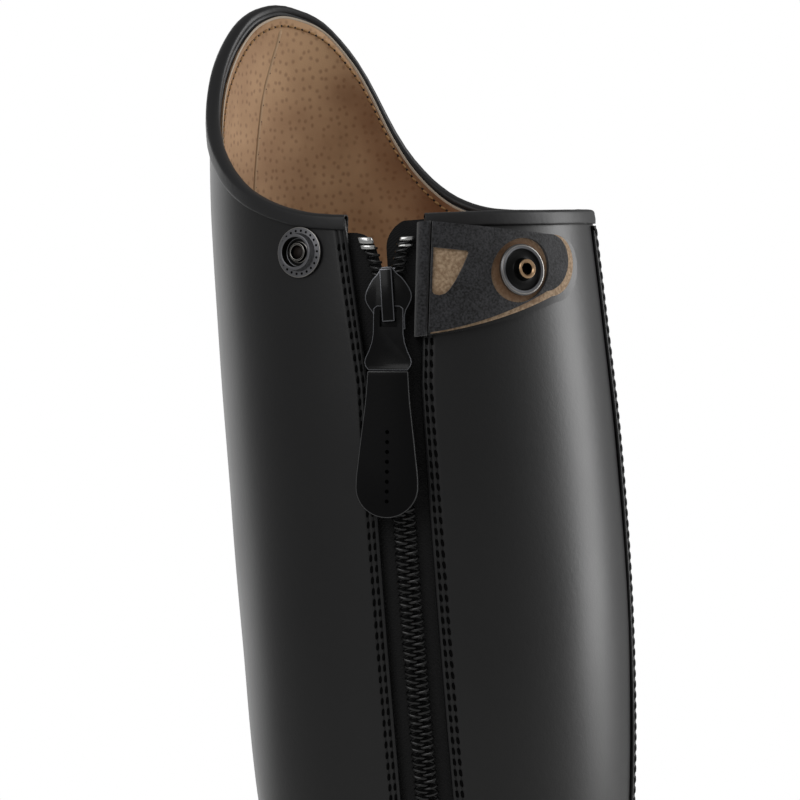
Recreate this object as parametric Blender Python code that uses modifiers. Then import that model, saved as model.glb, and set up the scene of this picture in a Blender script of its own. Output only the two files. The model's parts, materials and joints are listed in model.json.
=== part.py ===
"""Dress riding boot, left foot, with a zip up the back and a snap tab folded open.

Metres, +Z up, toe towards +Y, outer side of the leg towards -X. The origin is the
middle of the heel's bottom face, on the floor.
"""

import math

import bmesh
import bpy
import numpy as np
from mathutils import Matrix, Vector

# Driving sizes of the last and the leg
LAST_LENGTH = 0.258
BALL_WIDTH = 0.086
INSTEP_HEIGHT = 0.100
HEEL_SEAT_BACK = 0.036
HEEL_HEIGHT = 0.026
TOE_SPRING = 0.009
ANKLE_HEIGHT = 0.150
BACK_HEIGHT = 0.440
COLLAR_RISE = 0.064
CALF_WIDTH = 0.1155
CALF_DEPTH = 0.121

# Walls, layers and clearances
WALL = 0.0026
GAP = 0.0003
SOLE_THICKNESS = 0.0045
WELT_THICKNESS = 0.003
WELT_EDGE = 0.0055
HEEL_EDGE = 0.0012
INSOLE_THICKNESS = 0.0025
TOP_PIECE_THICKNESS = 0.006
HEEL_TAPER = 0.0025
BINDING_THICKNESS = 0.0006
BINDING_DEPTH = 0.0034
SEAM_WIDTH = 0.006
SEAM_THICKNESS = 0.0007
COUNTER_THICKNESS = 0.0011

# Zip, slider and pull
SLOT_HALF = 0.0077
SLOT_FLARE = 0.0043
SLOT_FLARE_LENGTH = 0.050
ZIP_END_HEIGHT = 0.097
ZIP_END_LENGTH = 0.008
CHAIN_WIDTH = 0.0074
CHAIN_THICKNESS = 0.0022
CHAIN_INSET = 0.0004
TAPE_THICKNESS = 0.0007
TAPE_SEAM = 0.006
COIL_SPREAD = 0.0062
STOP_HEIGHT = 0.0022
SLIDER_DROP = 0.0150
SLIDER_LENGTH = 0.0190
SLIDER_WIDTH = 0.0140
SLIDER_PLATE = 0.0013
BRIDGE_WIDTH = 0.0046
BRIDGE_LENGTH = 0.0160
BRIDGE_BAR = 0.0013
BRIDGE_RISE = 0.0024
WEDGE_HALF = 0.0012
PIVOT_DROP = 0.0125
PULL_NECK_WIDTH = 0.0090
PULL_FOOT_WIDTH = 0.0140
PULL_LENGTH = 0.0190
PULL_THICKNESS = 0.0012
PULL_BAR = 0.0007
PULLER_TOP_WIDTH = 0.0122
PULLER_WIDTH = 0.0184
PULLER_LENGTH = 0.0430
PULLER_THICKNESS = 0.0022
PULL_CANT = math.radians(4.0)

# Snap, tab and heel fittings
SNAP_FLANGE = 0.0150
SNAP_RING = 0.0107
SNAP_TUBE = 0.0060
SNAP_BORE = 0.0036
SNAP_PLATE = 0.0008
SNAP_HEIGHT = 0.0032
SOCKET_TURN = math.radians(26.1)
SOCKET_DROP = 0.0094
TAB_LENGTH = 0.0524
TAB_BASE = 0.0333
TAB_DROP = 0.0029
TAB_TIP_RADIUS = 0.0098
TAB_LEATHER = 0.0015
TAB_LINING = 0.0009
TAB_FACING = 0.0007
TAB_LIFT = 0.0014
TAB_ROOT = 0.0017
LINING_SETBACK = 0.0038
FACING_SETBACK = 0.0071
STUD_ALONG = 0.0281
STUD_DROP = 0.0195
STUD_HOLE = 0.0188
SPUR_REST_DEPTH = 0.0040
SPUR_REST_HEIGHT = 0.0060
SPUR_REST_DROP = 0.0120

# Mesh density of the faceted solids
COLUMNS = 48
CROWDING = 0.22
SHAFT_ROWS = 10

# One row for each section of the foot, from the feather line up to the ankle.
# back and front: places along the last, as shares of LAST_LENGTH.
# rise and ridge: heights over the sole at the back and at the front, as shares of INSTEP_HEIGHT.
# heel, seat, waist, ball, toe: fullness along the section, as shares of half BALL_WIDTH.
# swing: how much of the last's inward curve is left. dip: how much it follows the sole's line.
FOOT_COLUMNS = ("back", "rise", "front", "ridge", "heel", "seat", "waist", "ball", "toe", "swing", "dip")
FOOT_SECTIONS = (
    (0.000, 0.00, 1.000, 0.000, 1.08, 0.90, 0.71, 1.08, 1.13, 1.00, 1.00),
    (-0.004, 0.12, 1.002, 0.075, 1.11, 0.94, 0.75, 1.09, 1.14, 1.00, 1.00),
    (-0.014, 0.24, 0.999, 0.148, 1.14, 0.96, 0.77, 1.06, 1.11, 0.98, 0.95),
    (-0.020, 0.34, 0.988, 0.220, 1.14, 0.97, 0.78, 0.99, 1.03, 0.95, 0.88),
    (-0.021, 0.42, 0.964, 0.286, 1.13, 0.97, 0.79, 0.90, 0.93, 0.91, 0.80),
    (-0.018, 0.50, 0.923, 0.348, 1.12, 0.97, 0.80, 0.82, 0.84, 0.86, 0.70),
    (-0.012, 0.57, 0.862, 0.408, 1.10, 0.96, 0.80, 0.75, 0.76, 0.79, 0.60),
    (-0.006, 0.64, 0.788, 0.474, 1.08, 0.95, 0.80, 0.71, 0.70, 0.70, 0.49),
    (0.001, 0.71, 0.706, 0.554, 1.05, 0.93, 0.80, 0.70, 0.68, 0.58, 0.38),
    (0.006, 0.78, 0.626, 0.652, 1.01, 0.91, 0.80, 0.72, 0.68, 0.44, 0.28),
    (0.010, 0.86, 0.550, 0.775, 0.97, 0.89, 0.81, 0.75, 0.71, 0.30, 0.18),
    (0.012, 0.94, 0.486, 0.914, 0.93, 0.88, 0.83, 0.80, 0.77, 0.17, 0.10),
    (0.012, 1.03, 0.437, 1.065, 0.91, 0.89, 0.86, 0.85, 0.84, 0.07, 0.04),
)
FULLNESS_STATIONS = (0.0, 0.17, 0.40, 0.70, 1.0)

# The last's centre line, from heel to toe: share of the section, then share of BALL_WIDTH.
SWING_LINE = ((0.0, 0.0), (0.20, -0.009), (0.35, -0.036), (0.46, -0.054), (0.57, -0.040),
              (0.70, -0.004), (0.83, 0.022), (0.93, 0.040), (1.0, 0.056))

# One row for each height of the shaft. level: share of the way from ANKLE_HEIGHT to BACK_HEIGHT.
# outer and inner: half widths as shares of CALF_WIDTH. back and front: shares of CALF_DEPTH.
SHAFT_COLUMNS = ("level", "outer", "inner", "back", "front")
SHAFT_SECTIONS = (
    (0.00, 0.345, 0.335, 0.276, 0.563),
    (0.10, 0.390, 0.374, 0.300, 0.543),
    (0.22, 0.450, 0.432, 0.356, 0.533),
    (0.38, 0.503, 0.492, 0.432, 0.520),
    (0.56, 0.511, 0.520, 0.486, 0.513),
    (0.74, 0.513, 0.521, 0.500, 0.508),
    (0.88, 0.515, 0.505, 0.482, 0.500),
    (1.00, 0.512, 0.489, 0.452, 0.491),
    (1.11, 0.502, 0.478, 0.424, 0.484),
    (1.22, 0.495, 0.468, 0.400, 0.478),
)

# The collar's line round the leg: degrees from the back by the outer side, then share of COLLAR_RISE.
COLLAR_LINE = ((0, -0.02), (24, 0.016), (44, 0.115), (60, 0.25), (83, 0.50), (100, 0.74), (118, 0.95),
               (131, 1.012), (141, 0.99), (151, 0.91), (160, 0.742), (165, 0.598), (171, 0.385),
               (177, 0.22), (184, 0.094), (192, 0.004), (204, -0.055), (233, -0.08), (263, -0.08),
               (300, -0.06), (330, -0.035), (360, -0.02))

BLACK_LEATHER = ("black calf leather", "#0d0d0e", 0.38, 0.0)
TAN_LEATHER = ("tan lining leather", "#a4805c", 0.75, 0.0)
BLACK_SUEDE = ("black suede", "#2b2c2e", 0.95, 0.0)
SOLE_RUBBER = ("black rubber", "#111111", 0.7, 0.0)
HEEL_LEATHER = ("black edge-dressed leather", "#0f0d0c", 0.45, 0.0)
ZIP_CLOTH = ("black zip tape", "#0b0b0b", 0.9, 0.0)
ZIP_NYLON = ("black nylon coil", "#101011", 0.35, 0.0)
BLACK_METAL = ("black nickel", "#1b1b1d", 0.25, 1.0)
BRIGHT_METAL = ("bright nickel", "#c9cacc", 0.25, 1.0)


def smooth_curve(table, x):
    """The smooth curve through the table's rows, at x: a cubic with the slope of each row's neighbours."""
    xs = [row[0] for row in table]
    values = [row[1] for row in table]
    x = min(max(x, xs[0]), xs[-1])
    i = min(max(int(np.searchsorted(xs, x)) - 1, 0), len(xs) - 2)

    def slope(k):
        low = max(k - 1, 0)
        high = min(k + 1, len(xs) - 1)
        return (values[high] - values[low]) / (xs[high] - xs[low])

    span = xs[i + 1] - xs[i]
    t = (x - xs[i]) / span
    return (
        values[i] * (1 + 2 * t) * (1 - t) ** 2
        + slope(i) * span * t * (1 - t) ** 2
        + values[i + 1] * t * t * (3 - 2 * t)
        + slope(i + 1) * span * t * t * (t - 1)
    )


def ease(low, high, x):
    """0 below low, 1 above high, and a soft step between."""
    t = min(max((x - low) / (high - low), 0.0), 1.0)
    return t * t * (3 - 2 * t)


def mix(a, b, share):
    return a + (b - a) * share


def along_last(share):
    """Place on Y of a share of the last, from the heel to the toe."""
    return -HEEL_SEAT_BACK + share * LAST_LENGTH


def lift(y):
    """Height of the sole's bottom over the floor: the heel seat, the arch, the flat tread and the toe spring."""
    share = (y + HEEL_SEAT_BACK) / LAST_LENGTH
    arch = HEEL_HEIGHT * (1 - ease(0.27, 0.60, share))
    spring = TOE_SPRING * (max(share - 0.74, 0.0) / 0.26) ** 2
    return arch + spring


def feather(y):
    """Height of the upper's lower edge, just over the sole."""
    return lift(y) + SOLE_THICKNESS + GAP


def shaft_value(column, height):
    level = (height - ANKLE_HEIGHT) / (BACK_HEIGHT - ANKLE_HEIGHT)
    place = SHAFT_COLUMNS.index(column)
    return smooth_curve([(row[0], row[place]) for row in SHAFT_SECTIONS], level)


def shaft_section(height):
    """Back, front, outer and inner half widths of the shaft at a height."""
    return (
        -shaft_value("back", height) * CALF_DEPTH,
        shaft_value("front", height) * CALF_DEPTH,
        shaft_value("outer", height) * CALF_WIDTH,
        shaft_value("inner", height) * CALF_WIDTH,
    )


def side_of(turn):
    """-1 on the outer side, where the turn from the back is under half a circle, and 1 on the inner side."""
    return -1.0 if math.sin(turn) >= 0 else 1.0


def shaft_point(turn, height):
    back, front, outer, inner = shaft_section(height)
    half = outer if side_of(turn) < 0 else inner
    y = (back + front) / 2 - (front - back) / 2 * math.cos(turn)
    return Vector((-half * math.sin(turn), y, height))


def foot_values(row):
    """The columns of the foot's sections at a whole or part row, in metres where they are lengths."""
    half = BALL_WIDTH / 2
    tables = []
    for section in FOOT_SECTIONS:
        v = dict(zip(FOOT_COLUMNS, section))
        back, front = along_last(v["back"]), along_last(v["front"])
        tables.append(
            [
                back,
                feather(back) + v["rise"] * INSTEP_HEIGHT,
                front,
                feather(front) + v["ridge"] * INSTEP_HEIGHT,
                *(v[k] * half for k in ("heel", "seat", "waist", "ball", "toe")),
                v["swing"],
                v["dip"],
                0.0,
            ]
        )
    for step in (0, 1):
        height = ANKLE_HEIGHT + step * 0.1 * (BACK_HEIGHT - ANKLE_HEIGHT)
        back, front, outer, inner = shaft_section(height)
        middle, skew = (outer + inner) / 2, (inner - outer) / (inner + outer)
        tables.append([back, height, front, height, *[middle] * 5, 0.0, 0.0, skew])
    return [smooth_curve([(k, t[c]) for k, t in enumerate(tables)], row) for c in range(12)]


ANKLE_ROW = float(len(FOOT_SECTIONS))
ROW_CACHE = {}


def foot_point(turn, row):
    if row not in ROW_CACHE:
        ROW_CACHE[row] = foot_values(row)
    back, back_z, front, front_z, *fullness, swing, dip, skew = ROW_CACHE[row]
    share = (1 - math.cos(turn)) / 2
    side = side_of(turn)
    half = smooth_curve(list(zip(FULLNESS_STATIONS, fullness)), share)
    y = mix(back, front, share)
    straight = mix(feather(back), feather(front), share)
    z = mix(back_z, front_z, share) + dip * (feather(y) - straight)
    x = swing * BALL_WIDTH * smooth_curve(SWING_LINE, share)
    x += side * half * (1 + side * skew) * abs(math.sin(turn))
    return Vector((x, y, z))


def collar_height(turn):
    degrees = math.degrees(turn) % 360
    return BACK_HEIGHT + COLLAR_RISE * smooth_curve(COLLAR_LINE, degrees)


def skin(turn, level):
    """The upper's outer surface. turn goes round from the back by the outer side. level counts the foot's
    sections up to the ankle, and then goes one step further, to the collar."""
    turn = turn % (2 * math.pi)
    if level <= ANKLE_ROW:
        return foot_point(turn, level)
    return shaft_point(turn, mix(ANKLE_HEIGHT, collar_height(turn), level - ANKLE_ROW))


def skin_frame(turn, level):
    """Point, outward normal, direction down the surface, and direction round the leg."""
    step_turn, step_level = 0.01, 0.004
    point = skin(turn, level)
    high = min(level + step_level, ANKLE_ROW + 1)
    low = max(level - step_level, 0.0)
    round_leg = (skin(turn + step_turn, level) - skin(turn - step_turn, level)).normalized()
    up = (skin(turn, high) - skin(turn, low)).normalized()
    normal = up.cross(round_leg).normalized()
    return point, normal, round_leg.cross(normal).normalized() * -1, round_leg


def raised(turn, level, out):
    """A point at a distance outside the upper's outer surface."""
    point, normal, _, _ = skin_frame(turn, level)
    return point + normal * out


def level_at(height, turn=0.0):
    """The level at which the surface reaches a height, at one turn."""
    levels = np.linspace(0, ANKLE_ROW + 1, 281)
    heights = [skin(turn, float(v)).z for v in levels]
    return float(np.interp(height, heights, levels))


BACK_LEVELS = [(skin(0.0, float(v)).z, float(v)) for v in np.linspace(0, ANKLE_ROW + 1, 281)]


def back_level(height):
    return float(np.interp(height, [h for h, _ in BACK_LEVELS], [v for _, v in BACK_LEVELS]))


def slot_half(height):
    """Half the width of the zip's opening in the leather, at a height up the back."""
    flare = SLOT_FLARE * (1 - min((BACK_HEIGHT - height) / SLOT_FLARE_LENGTH, 1.0))
    return (SLOT_HALF + flare) * min(max((height - ZIP_END_HEIGHT) / ZIP_END_LENGTH, 0.0), 1.0)


def half_width(level, side):
    """Half width of the round that fits the back of the section at a level, on one side of the back line."""
    turn = 0.25
    return abs(skin(-side * turn, level).x) / math.sin(turn)


def turn_of(x, level):
    """The turn near the back at which the surface lies x to the side."""
    side = 1.0 if x > 0 else -1.0
    return math.asin(min(max(-x / half_width(level, side), -1.0), 1.0))


def back_point(x, height, inset):
    """A point near the zip: x to the side of the back line, at a height, inside the outer surface."""
    level = back_level(height)
    return raised(turn_of(x, level), level, -inset)


def material(spec):
    name, colour, roughness, metallic = spec
    made = bpy.data.materials.get(name)
    if made:
        return made
    made = bpy.data.materials.new(name)
    made.use_nodes = True
    shader = made.node_tree.nodes["Principled BSDF"]
    channels = [int(colour[i : i + 2], 16) / 255 for i in (1, 3, 5)]
    linear = [c / 12.92 if c <= 0.04045 else ((c + 0.055) / 1.055) ** 2.4 for c in channels]
    shader.inputs["Base Color"].default_value = (*linear, 1.0)
    shader.inputs["Roughness"].default_value = roughness
    shader.inputs["Metallic"].default_value = metallic
    return made


def face_out(bm):
    """Turns the faces of a closed or an open mesh the same way, out of the solid where it is closed."""
    bmesh.ops.recalc_face_normals(bm, faces=bm.faces)
    if all(e.is_manifold for e in bm.edges) and bm.calc_volume(signed=True) < 0:
        bmesh.ops.reverse_faces(bm, faces=bm.faces)


def add_object(name, bm, spec, collection="dress_riding_boot"):
    """Makes the mesh an object in the boot's collection, with its faces pointing out."""
    bmesh.ops.remove_doubles(bm, verts=bm.verts, dist=0.00002)
    face_out(bm)
    mesh = bpy.data.meshes.new(name)
    bm.to_mesh(mesh)
    bm.free()
    mesh.shade_smooth()
    mesh.set_sharp_from_angle(angle=math.radians(40))
    mesh.materials.append(material(spec))
    obj = bpy.data.objects.new(name, mesh)
    group = bpy.data.collections.get(collection)
    if group is None:
        group = bpy.data.collections.new(collection)
        bpy.context.scene.collection.children.link(group)
    group.objects.link(obj)
    return obj


def unit_grid(columns, rows):
    """A flat grid over the unit square, whose vertices still say their place in it."""
    bm = bmesh.new()
    bmesh.ops.create_grid(bm, x_segments=columns, y_segments=rows, size=0.5)
    bmesh.ops.translate(bm, verts=bm.verts, vec=(0.5, 0.5, 0.0))
    return bm


def slab(name, columns, rows, lower, upper, spec):
    """A solid between two surfaces, each a function of the place in the unit square."""
    bm = unit_grid(columns, rows)
    old = list(bm.verts)
    grown = bmesh.ops.extrude_face_region(bm, geom=list(bm.faces))["geom"]
    new = [v for v in grown if isinstance(v, bmesh.types.BMVert)]
    for verts, place in ((old, lower), (new, upper)):
        for v in verts:
            v.co = place(v.co.x, v.co.y)
    return add_object(name, bm, spec)


def flat_plate(name, outline, low, high, spec, collection="dress_riding_boot"):
    """A flat plate: an outline of (x, down) points, as thick as from low to high."""
    curve = bpy.data.curves.new(name, "CURVE")
    curve.dimensions = "2D"
    curve.fill_mode = "BOTH"
    curve.extrude = (high - low) / 2
    spline = curve.splines.new("POLY")
    spline.points.add(len(outline) - 1)
    for point, (x, down) in zip(spline.points, outline):
        point.co = (x, down, 0.0, 1.0)
    spline.use_cyclic_u = True
    drawn = bpy.data.objects.new(name + "_outline", curve)
    bpy.context.scene.collection.objects.link(drawn)
    bpy.context.view_layer.update()
    evaluated = drawn.evaluated_get(bpy.context.evaluated_depsgraph_get())
    bm = bmesh.new()
    bm.from_mesh(bpy.data.meshes.new_from_object(evaluated))
    bpy.data.objects.remove(drawn)
    bmesh.ops.translate(bm, verts=bm.verts, vec=(0.0, 0.0, (low + high) / 2))
    return add_object(name, bm, spec, collection)


def plate(name, outline, low, high, place, spec, cuts=(), joins=()):
    """A flat plate, cut and joined while it is flat, and then put in place by a function."""
    obj = flat_plate(name, outline, low, high, spec)
    for cutter in cuts:
        cut(obj, cutter)
    for helper in joins:
        cut(obj, helper, "UNION")
    bake(obj)
    bend(obj, lambda co: place(co.x, co.y, co.z))
    return obj


def cut(obj, cutter, operation="DIFFERENCE"):
    """A Boolean with a helper that isn't part of the boot."""
    cutter.hide_render = True
    cutter.display_type = "WIRE"
    modifier = obj.modifiers.new("cut", "BOOLEAN")
    modifier.operation = operation
    modifier.object = cutter


def bake(obj):
    """Applies the modifiers, so that the finished flat shape can be bent into place."""
    bpy.context.view_layer.update()
    evaluated = obj.evaluated_get(bpy.context.evaluated_depsgraph_get())
    mesh = bpy.data.meshes.new_from_object(evaluated)
    obj.modifiers.clear()
    obj.data = mesh


def bend(obj, place):
    """Moves every vertex with a function, and turns the faces out again."""
    bm = bmesh.new()
    bm.from_mesh(obj.data)
    for v in bm.verts:
        v.co = place(v.co)
    face_out(bm)
    bm.to_mesh(obj.data)
    bm.free()


def box_cutter(name, low, high):
    bm = bmesh.new()
    bmesh.ops.create_cube(bm, size=1.0)
    low, high = Vector(low), Vector(high)
    bmesh.ops.scale(bm, verts=bm.verts, vec=high - low)
    bmesh.ops.translate(bm, verts=bm.verts, vec=(low + high) / 2)
    return add_object(name, bm, BLACK_METAL, "cutters")


def column_turn(share, first=0.0, last=2 * math.pi):
    """The turn of a column, crowded a little towards the sides of the foot, where the sole curves most."""
    turn = mix(first, last, share)
    return turn + CROWDING / 2 * math.sin(2 * turn)


def slot_turns(level):
    """First and last turn of the leather at a level, clear of the zip's opening."""
    edge = slot_half(skin(0.0, level).z)
    first = turn_of(-edge, level) / (1 + CROWDING)
    last = 2 * math.pi + turn_of(edge, level) / (1 + CROWDING)
    return first, last


def row_levels():
    """The levels of the upper's rows: the foot's sections, the ends of the zip's opening, and the shaft."""
    foot_rows = [float(k) for k in range(int(ANKLE_ROW))]
    end_rows = [back_level(ZIP_END_HEIGHT), back_level(ZIP_END_HEIGHT + ZIP_END_LENGTH)]
    foot_rows = [r for r in foot_rows if all(abs(r - e) > 0.3 for e in end_rows)] + end_rows
    shaft_rows = [ANKLE_ROW + k / SHAFT_ROWS for k in range(SHAFT_ROWS + 1)]
    return sorted(foot_rows + shaft_rows + [ANKLE_ROW + 0.5 / SHAFT_ROWS])


def build_upper():
    """The hollow upper: one wall from the feather line to the collar, slit up the back for the zip."""
    levels = row_levels()
    bm = unit_grid(COLUMNS, len(levels) - 1)
    for v in bm.verts:
        level = levels[round(v.co.y * (len(levels) - 1))]
        first, last = slot_turns(level)
        v.co = skin(column_turn(v.co.x, first, last), level)
    obj = add_object("upper", bm, BLACK_LEATHER)
    shell = obj.modifiers.new("wall", "SOLIDIFY")
    shell.thickness = WALL
    shell.offset = -1.0
    shell.use_even_offset = True
    return obj


def build_collar_binding():
    """A folded strip of leather over the collar's edge, as a U that leaves a gap to the wall."""
    out = GAP + BINDING_THICKNESS
    inside = WALL + out
    middle, half = (out - inside) / 2, (out + inside) / 2
    profile = [(out, BINDING_DEPTH)]
    profile += [
        (middle + half * math.cos(a), -half * math.sin(a) * 0.5)
        for a in [math.pi * k / 3 for k in range(4)]
    ]
    profile += [(-inside, BINDING_DEPTH)]
    level = ANKLE_ROW + 1
    first, last = slot_turns(level)
    bm = unit_grid(COLUMNS, len(profile) - 1)
    for v in bm.verts:
        point, normal, down, _ = skin_frame(column_turn(v.co.x, first, last), level)
        away, deep = profile[round(v.co.y * (len(profile) - 1))]
        v.co = point + normal * away + down * (deep - GAP)
    obj = add_object("collar_binding", bm, BLACK_LEATHER)
    strip = obj.modifiers.new("strip", "SOLIDIFY")
    strip.thickness = BINDING_THICKNESS
    strip.offset = -1.0
    return obj


def outline_point(turn, margin):
    """A point of the feather line moved out level by a margin."""
    ahead, behind = foot_point(turn + 0.01, 0.0), foot_point(turn - 0.01, 0.0)
    along = (ahead - behind).normalized()
    across = Vector((-along.y, along.x, 0.0)).normalized()
    return foot_point(turn, 0.0) + across * margin


def sole_margin(turn):
    """The sole stands out little at the heel and as a welt round the forefoot."""
    share = (1 - math.cos(turn)) / 2
    return mix(HEEL_EDGE, WELT_EDGE, ease(0.22, 0.42, share))


def sole_place(across, along, margin, height):
    """A point between the sole's outer and inner edge, at a height over the sole's bottom line."""
    turn = column_turn(along / 2)
    outer = outline_point(turn, margin(turn))
    inner = outline_point(2 * math.pi - turn, margin(turn))
    point = outer.lerp(inner, across)
    return Vector((point.x, point.y, lift(point.y) + height))


def build_outsole():
    return slab(
        "outsole", 2, COLUMNS // 2,
        lambda a, b: sole_place(a, b, sole_margin, 0.0),
        lambda a, b: sole_place(a, b, sole_margin, SOLE_THICKNESS),
        SOLE_RUBBER,
    )


def build_insole():
    """A sheet of leather that lies on the sole, inside the upper's wall."""
    inside = WALL + 2 * GAP
    bottom = SOLE_THICKNESS + GAP
    return slab(
        "insole", 2, COLUMNS // 2,
        lambda a, b: sole_place(a, b, lambda turn: -inside, bottom),
        lambda a, b: sole_place(a, b, lambda turn: -inside, bottom + INSOLE_THICKNESS),
        TAN_LEATHER,
    )


WELT_START = 8


def build_welt():
    """The strip that the forefoot is sewn to, from the heel's breast round the toe."""
    def place(across, along, height):
        turn = column_turn(mix(WELT_START, COLUMNS - WELT_START, along) / COLUMNS)
        margin = mix(2 * GAP, sole_margin(turn), across)
        point = outline_point(turn, margin)
        return Vector((point.x, point.y, lift(point.y) + SOLE_THICKNESS + height))

    return slab(
        "welt", 1, COLUMNS - 2 * WELT_START,
        lambda a, b: place(a, b, GAP),
        lambda a, b: place(a, b, GAP + WELT_THICKNESS),
        BLACK_LEATHER,
    )


def heel_place(across, along, height):
    """A point of the heel: under the seat, tapered to the floor, with a hollow breast."""
    breast = 0.262
    end = math.acos(1 - 2 * breast)
    turn = mix(0.0, end, along)
    taper = HEEL_TAPER * (1 - height / HEEL_HEIGHT)
    outer = outline_point(turn, HEEL_EDGE - taper)
    inner = outline_point(2 * math.pi - turn, HEEL_EDGE - taper)
    point = outer.lerp(inner, across)
    hollow = 0.0045 * math.sin(math.pi * across) * along**4
    return Vector((point.x, point.y - hollow - taper * along**2, height))


def build_heel():
    split = TOP_PIECE_THICKNESS
    stack = slab(
        "heel_stack", 4, 12,
        lambda a, b: heel_place(a, b, split + GAP),
        lambda a, b: heel_place(a, b, HEEL_HEIGHT - GAP),
        HEEL_LEATHER,
    )
    top_piece = slab(
        "heel_top_piece", 4, 12,
        lambda a, b: heel_place(a, b, 0.0),
        lambda a, b: heel_place(a, b, split),
        SOLE_RUBBER,
    )
    return stack, top_piece


def counter_top(turn):
    """The level of the heel counter's upper edge, highest up the back."""
    return 6.3 - 3.4 * (turn / COUNTER_TURN) ** 2


COUNTER_TURN = math.radians(49)
COUNTER_LOW = 0.06


def build_heel_counter():
    """The leather cap over the heel, cut from the upper's own surface."""

    def place(a, b, out):
        turn = mix(-COUNTER_TURN, COUNTER_TURN, a)
        level = mix(COUNTER_LOW, counter_top(turn), b)
        return raised(turn, level, out)

    return slab(
        "heel_counter", 16, 6,
        lambda a, b: place(a, b, GAP),
        lambda a, b: place(a, b, GAP + COUNTER_THICKNESS),
        BLACK_LEATHER,
    )


def build_spur_rest():
    """A small leather ledge round the back of the counter, which a spur's band lies on."""
    reach = math.radians(38)
    top = skin(0.0, counter_top(0.0)).z - SPUR_REST_DROP
    seat = 2 * GAP + COUNTER_THICKNESS

    def place(a, b, share):
        turn = mix(-reach, reach, a)
        level = back_level(mix(top - SPUR_REST_HEIGHT, top, b))
        swell = math.cos(math.pi / 2 * turn / reach) ** 0.7 * mix(0.55, 1.0, b)
        return raised(turn, level, seat + share * (0.0008 + SPUR_REST_DEPTH * swell))

    return slab(
        "spur_rest", 14, 2,
        lambda a, b: place(a, b, 0.0),
        lambda a, b: place(a, b, 1.0),
        HEEL_LEATHER,
    )


def turn_at_length(y, level, side):
    """The turn on one side of the foot at which its surface lies at a place along the foot."""
    back, front = skin(0.0, level).y, skin(math.pi, level).y
    turn = math.acos(min(max(1 - 2 * (y - back) / (front - back), -1.0), 1.0))
    return turn if side < 0 else 2 * math.pi - turn


def build_side_seam(name, turn):
    """A raised strip where the front and back panels of the leg are lapped, straight down to the sole."""
    levels = [v for v in row_levels() if v > 0.5]
    levels[-1] -= (BINDING_DEPTH + 4 * GAP) / (BACK_HEIGHT - ANKLE_HEIGHT)
    levels.insert(0, 0.15)
    ankle_y = skin(turn, ANKLE_ROW).y

    def place(a, b, out):
        level = levels[round(b * (len(levels) - 1))]
        side = side_of(turn)
        middle = turn if level >= ANKLE_ROW else turn_at_length(ankle_y, level, side)
        edge = middle + mix(-0.5, 0.5, a) * SEAM_WIDTH / seam_stretch(middle, level)
        return raised(edge, level, out)

    return slab(
        name, 2, len(levels) - 1,
        lambda a, b: place(a, b, GAP),
        lambda a, b: place(a, b, GAP + SEAM_THICKNESS),
        BLACK_LEATHER,
    )


def seam_stretch(turn, level):
    """Metres round the surface for a turn of one radian."""
    return (skin(turn + 0.02, level) - skin(turn - 0.02, level)).length / 0.04


def coil_gap(height):
    """Half the gap between the open coils, from the slider's mouth to the top stops."""
    mouth = BACK_HEIGHT - SLIDER_DROP - 0.4 * SLIDER_LENGTH
    return COIL_SPREAD * max((height - mouth) / (BACK_HEIGHT - mouth), 0.0)


def zip_heights(low, high, extra=()):
    """Heights from low to high for a piece of the zip, in step with the upper's rows."""
    rows = [skin(0.0, level).z for level in row_levels()] + list(extra)
    return [low] + [z for z in sorted(rows) if low + 0.004 < z < high - 0.004] + [high]


ZIP_TOP = BACK_HEIGHT - 0.0050
ZIP_BOTTOM = ZIP_END_HEIGHT + 0.002
COIL_INSET = CHAIN_INSET + CHAIN_THICKNESS
TAPE_INSET = max(WALL, COIL_INSET) + 2.6 * GAP


def build_zip_tape(name, side):
    """Woven tape, sewn behind the leather's edge and reaching the coil."""
    mouth = BACK_HEIGHT - SLIDER_DROP - 0.4 * SLIDER_LENGTH
    heights = zip_heights(ZIP_BOTTOM, ZIP_TOP, [mouth])

    def place(a, b, inset):
        height = heights[round(b * (len(heights) - 1))]
        inner = coil_gap(height) + GAP
        outer = max(slot_half(height), SLOT_HALF) + TAPE_SEAM
        return back_point(side * mix(inner, outer, a), height, inset)

    return slab(
        name, 3, len(heights) - 1,
        lambda a, b: place(a, b, TAPE_INSET + TAPE_THICKNESS),
        lambda a, b: place(a, b, TAPE_INSET),
        ZIP_CLOTH,
    )


def build_zip_chain():
    """The closed coils, from the bottom of the zip to the slider."""
    heights = zip_heights(ZIP_BOTTOM + 0.006, BACK_HEIGHT - SLIDER_DROP - SLIDER_LENGTH)
    half = CHAIN_WIDTH / 2

    def place(a, b, inset):
        return back_point(mix(-half, half, a), heights[round(b * (len(heights) - 1))], inset)

    return slab(
        "zip_chain", 2, len(heights) - 1,
        lambda a, b: place(a, b, COIL_INSET),
        lambda a, b: place(a, b, CHAIN_INSET),
        ZIP_NYLON,
    )


def build_open_coil(name, side):
    """One coil above the slider, spread to its side."""
    low = BACK_HEIGHT - SLIDER_DROP + GAP
    high = ZIP_TOP - 0.0015 - STOP_HEIGHT - GAP

    def place(a, b, inset):
        height = mix(low, high, b)
        x = coil_gap(height) + mix(0.0, CHAIN_WIDTH / 2, a)
        return back_point(side * x, height, inset)

    return slab(
        name, 1, 4,
        lambda a, b: place(a, b, COIL_INSET),
        lambda a, b: place(a, b, CHAIN_INSET),
        ZIP_NYLON,
    )


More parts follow.
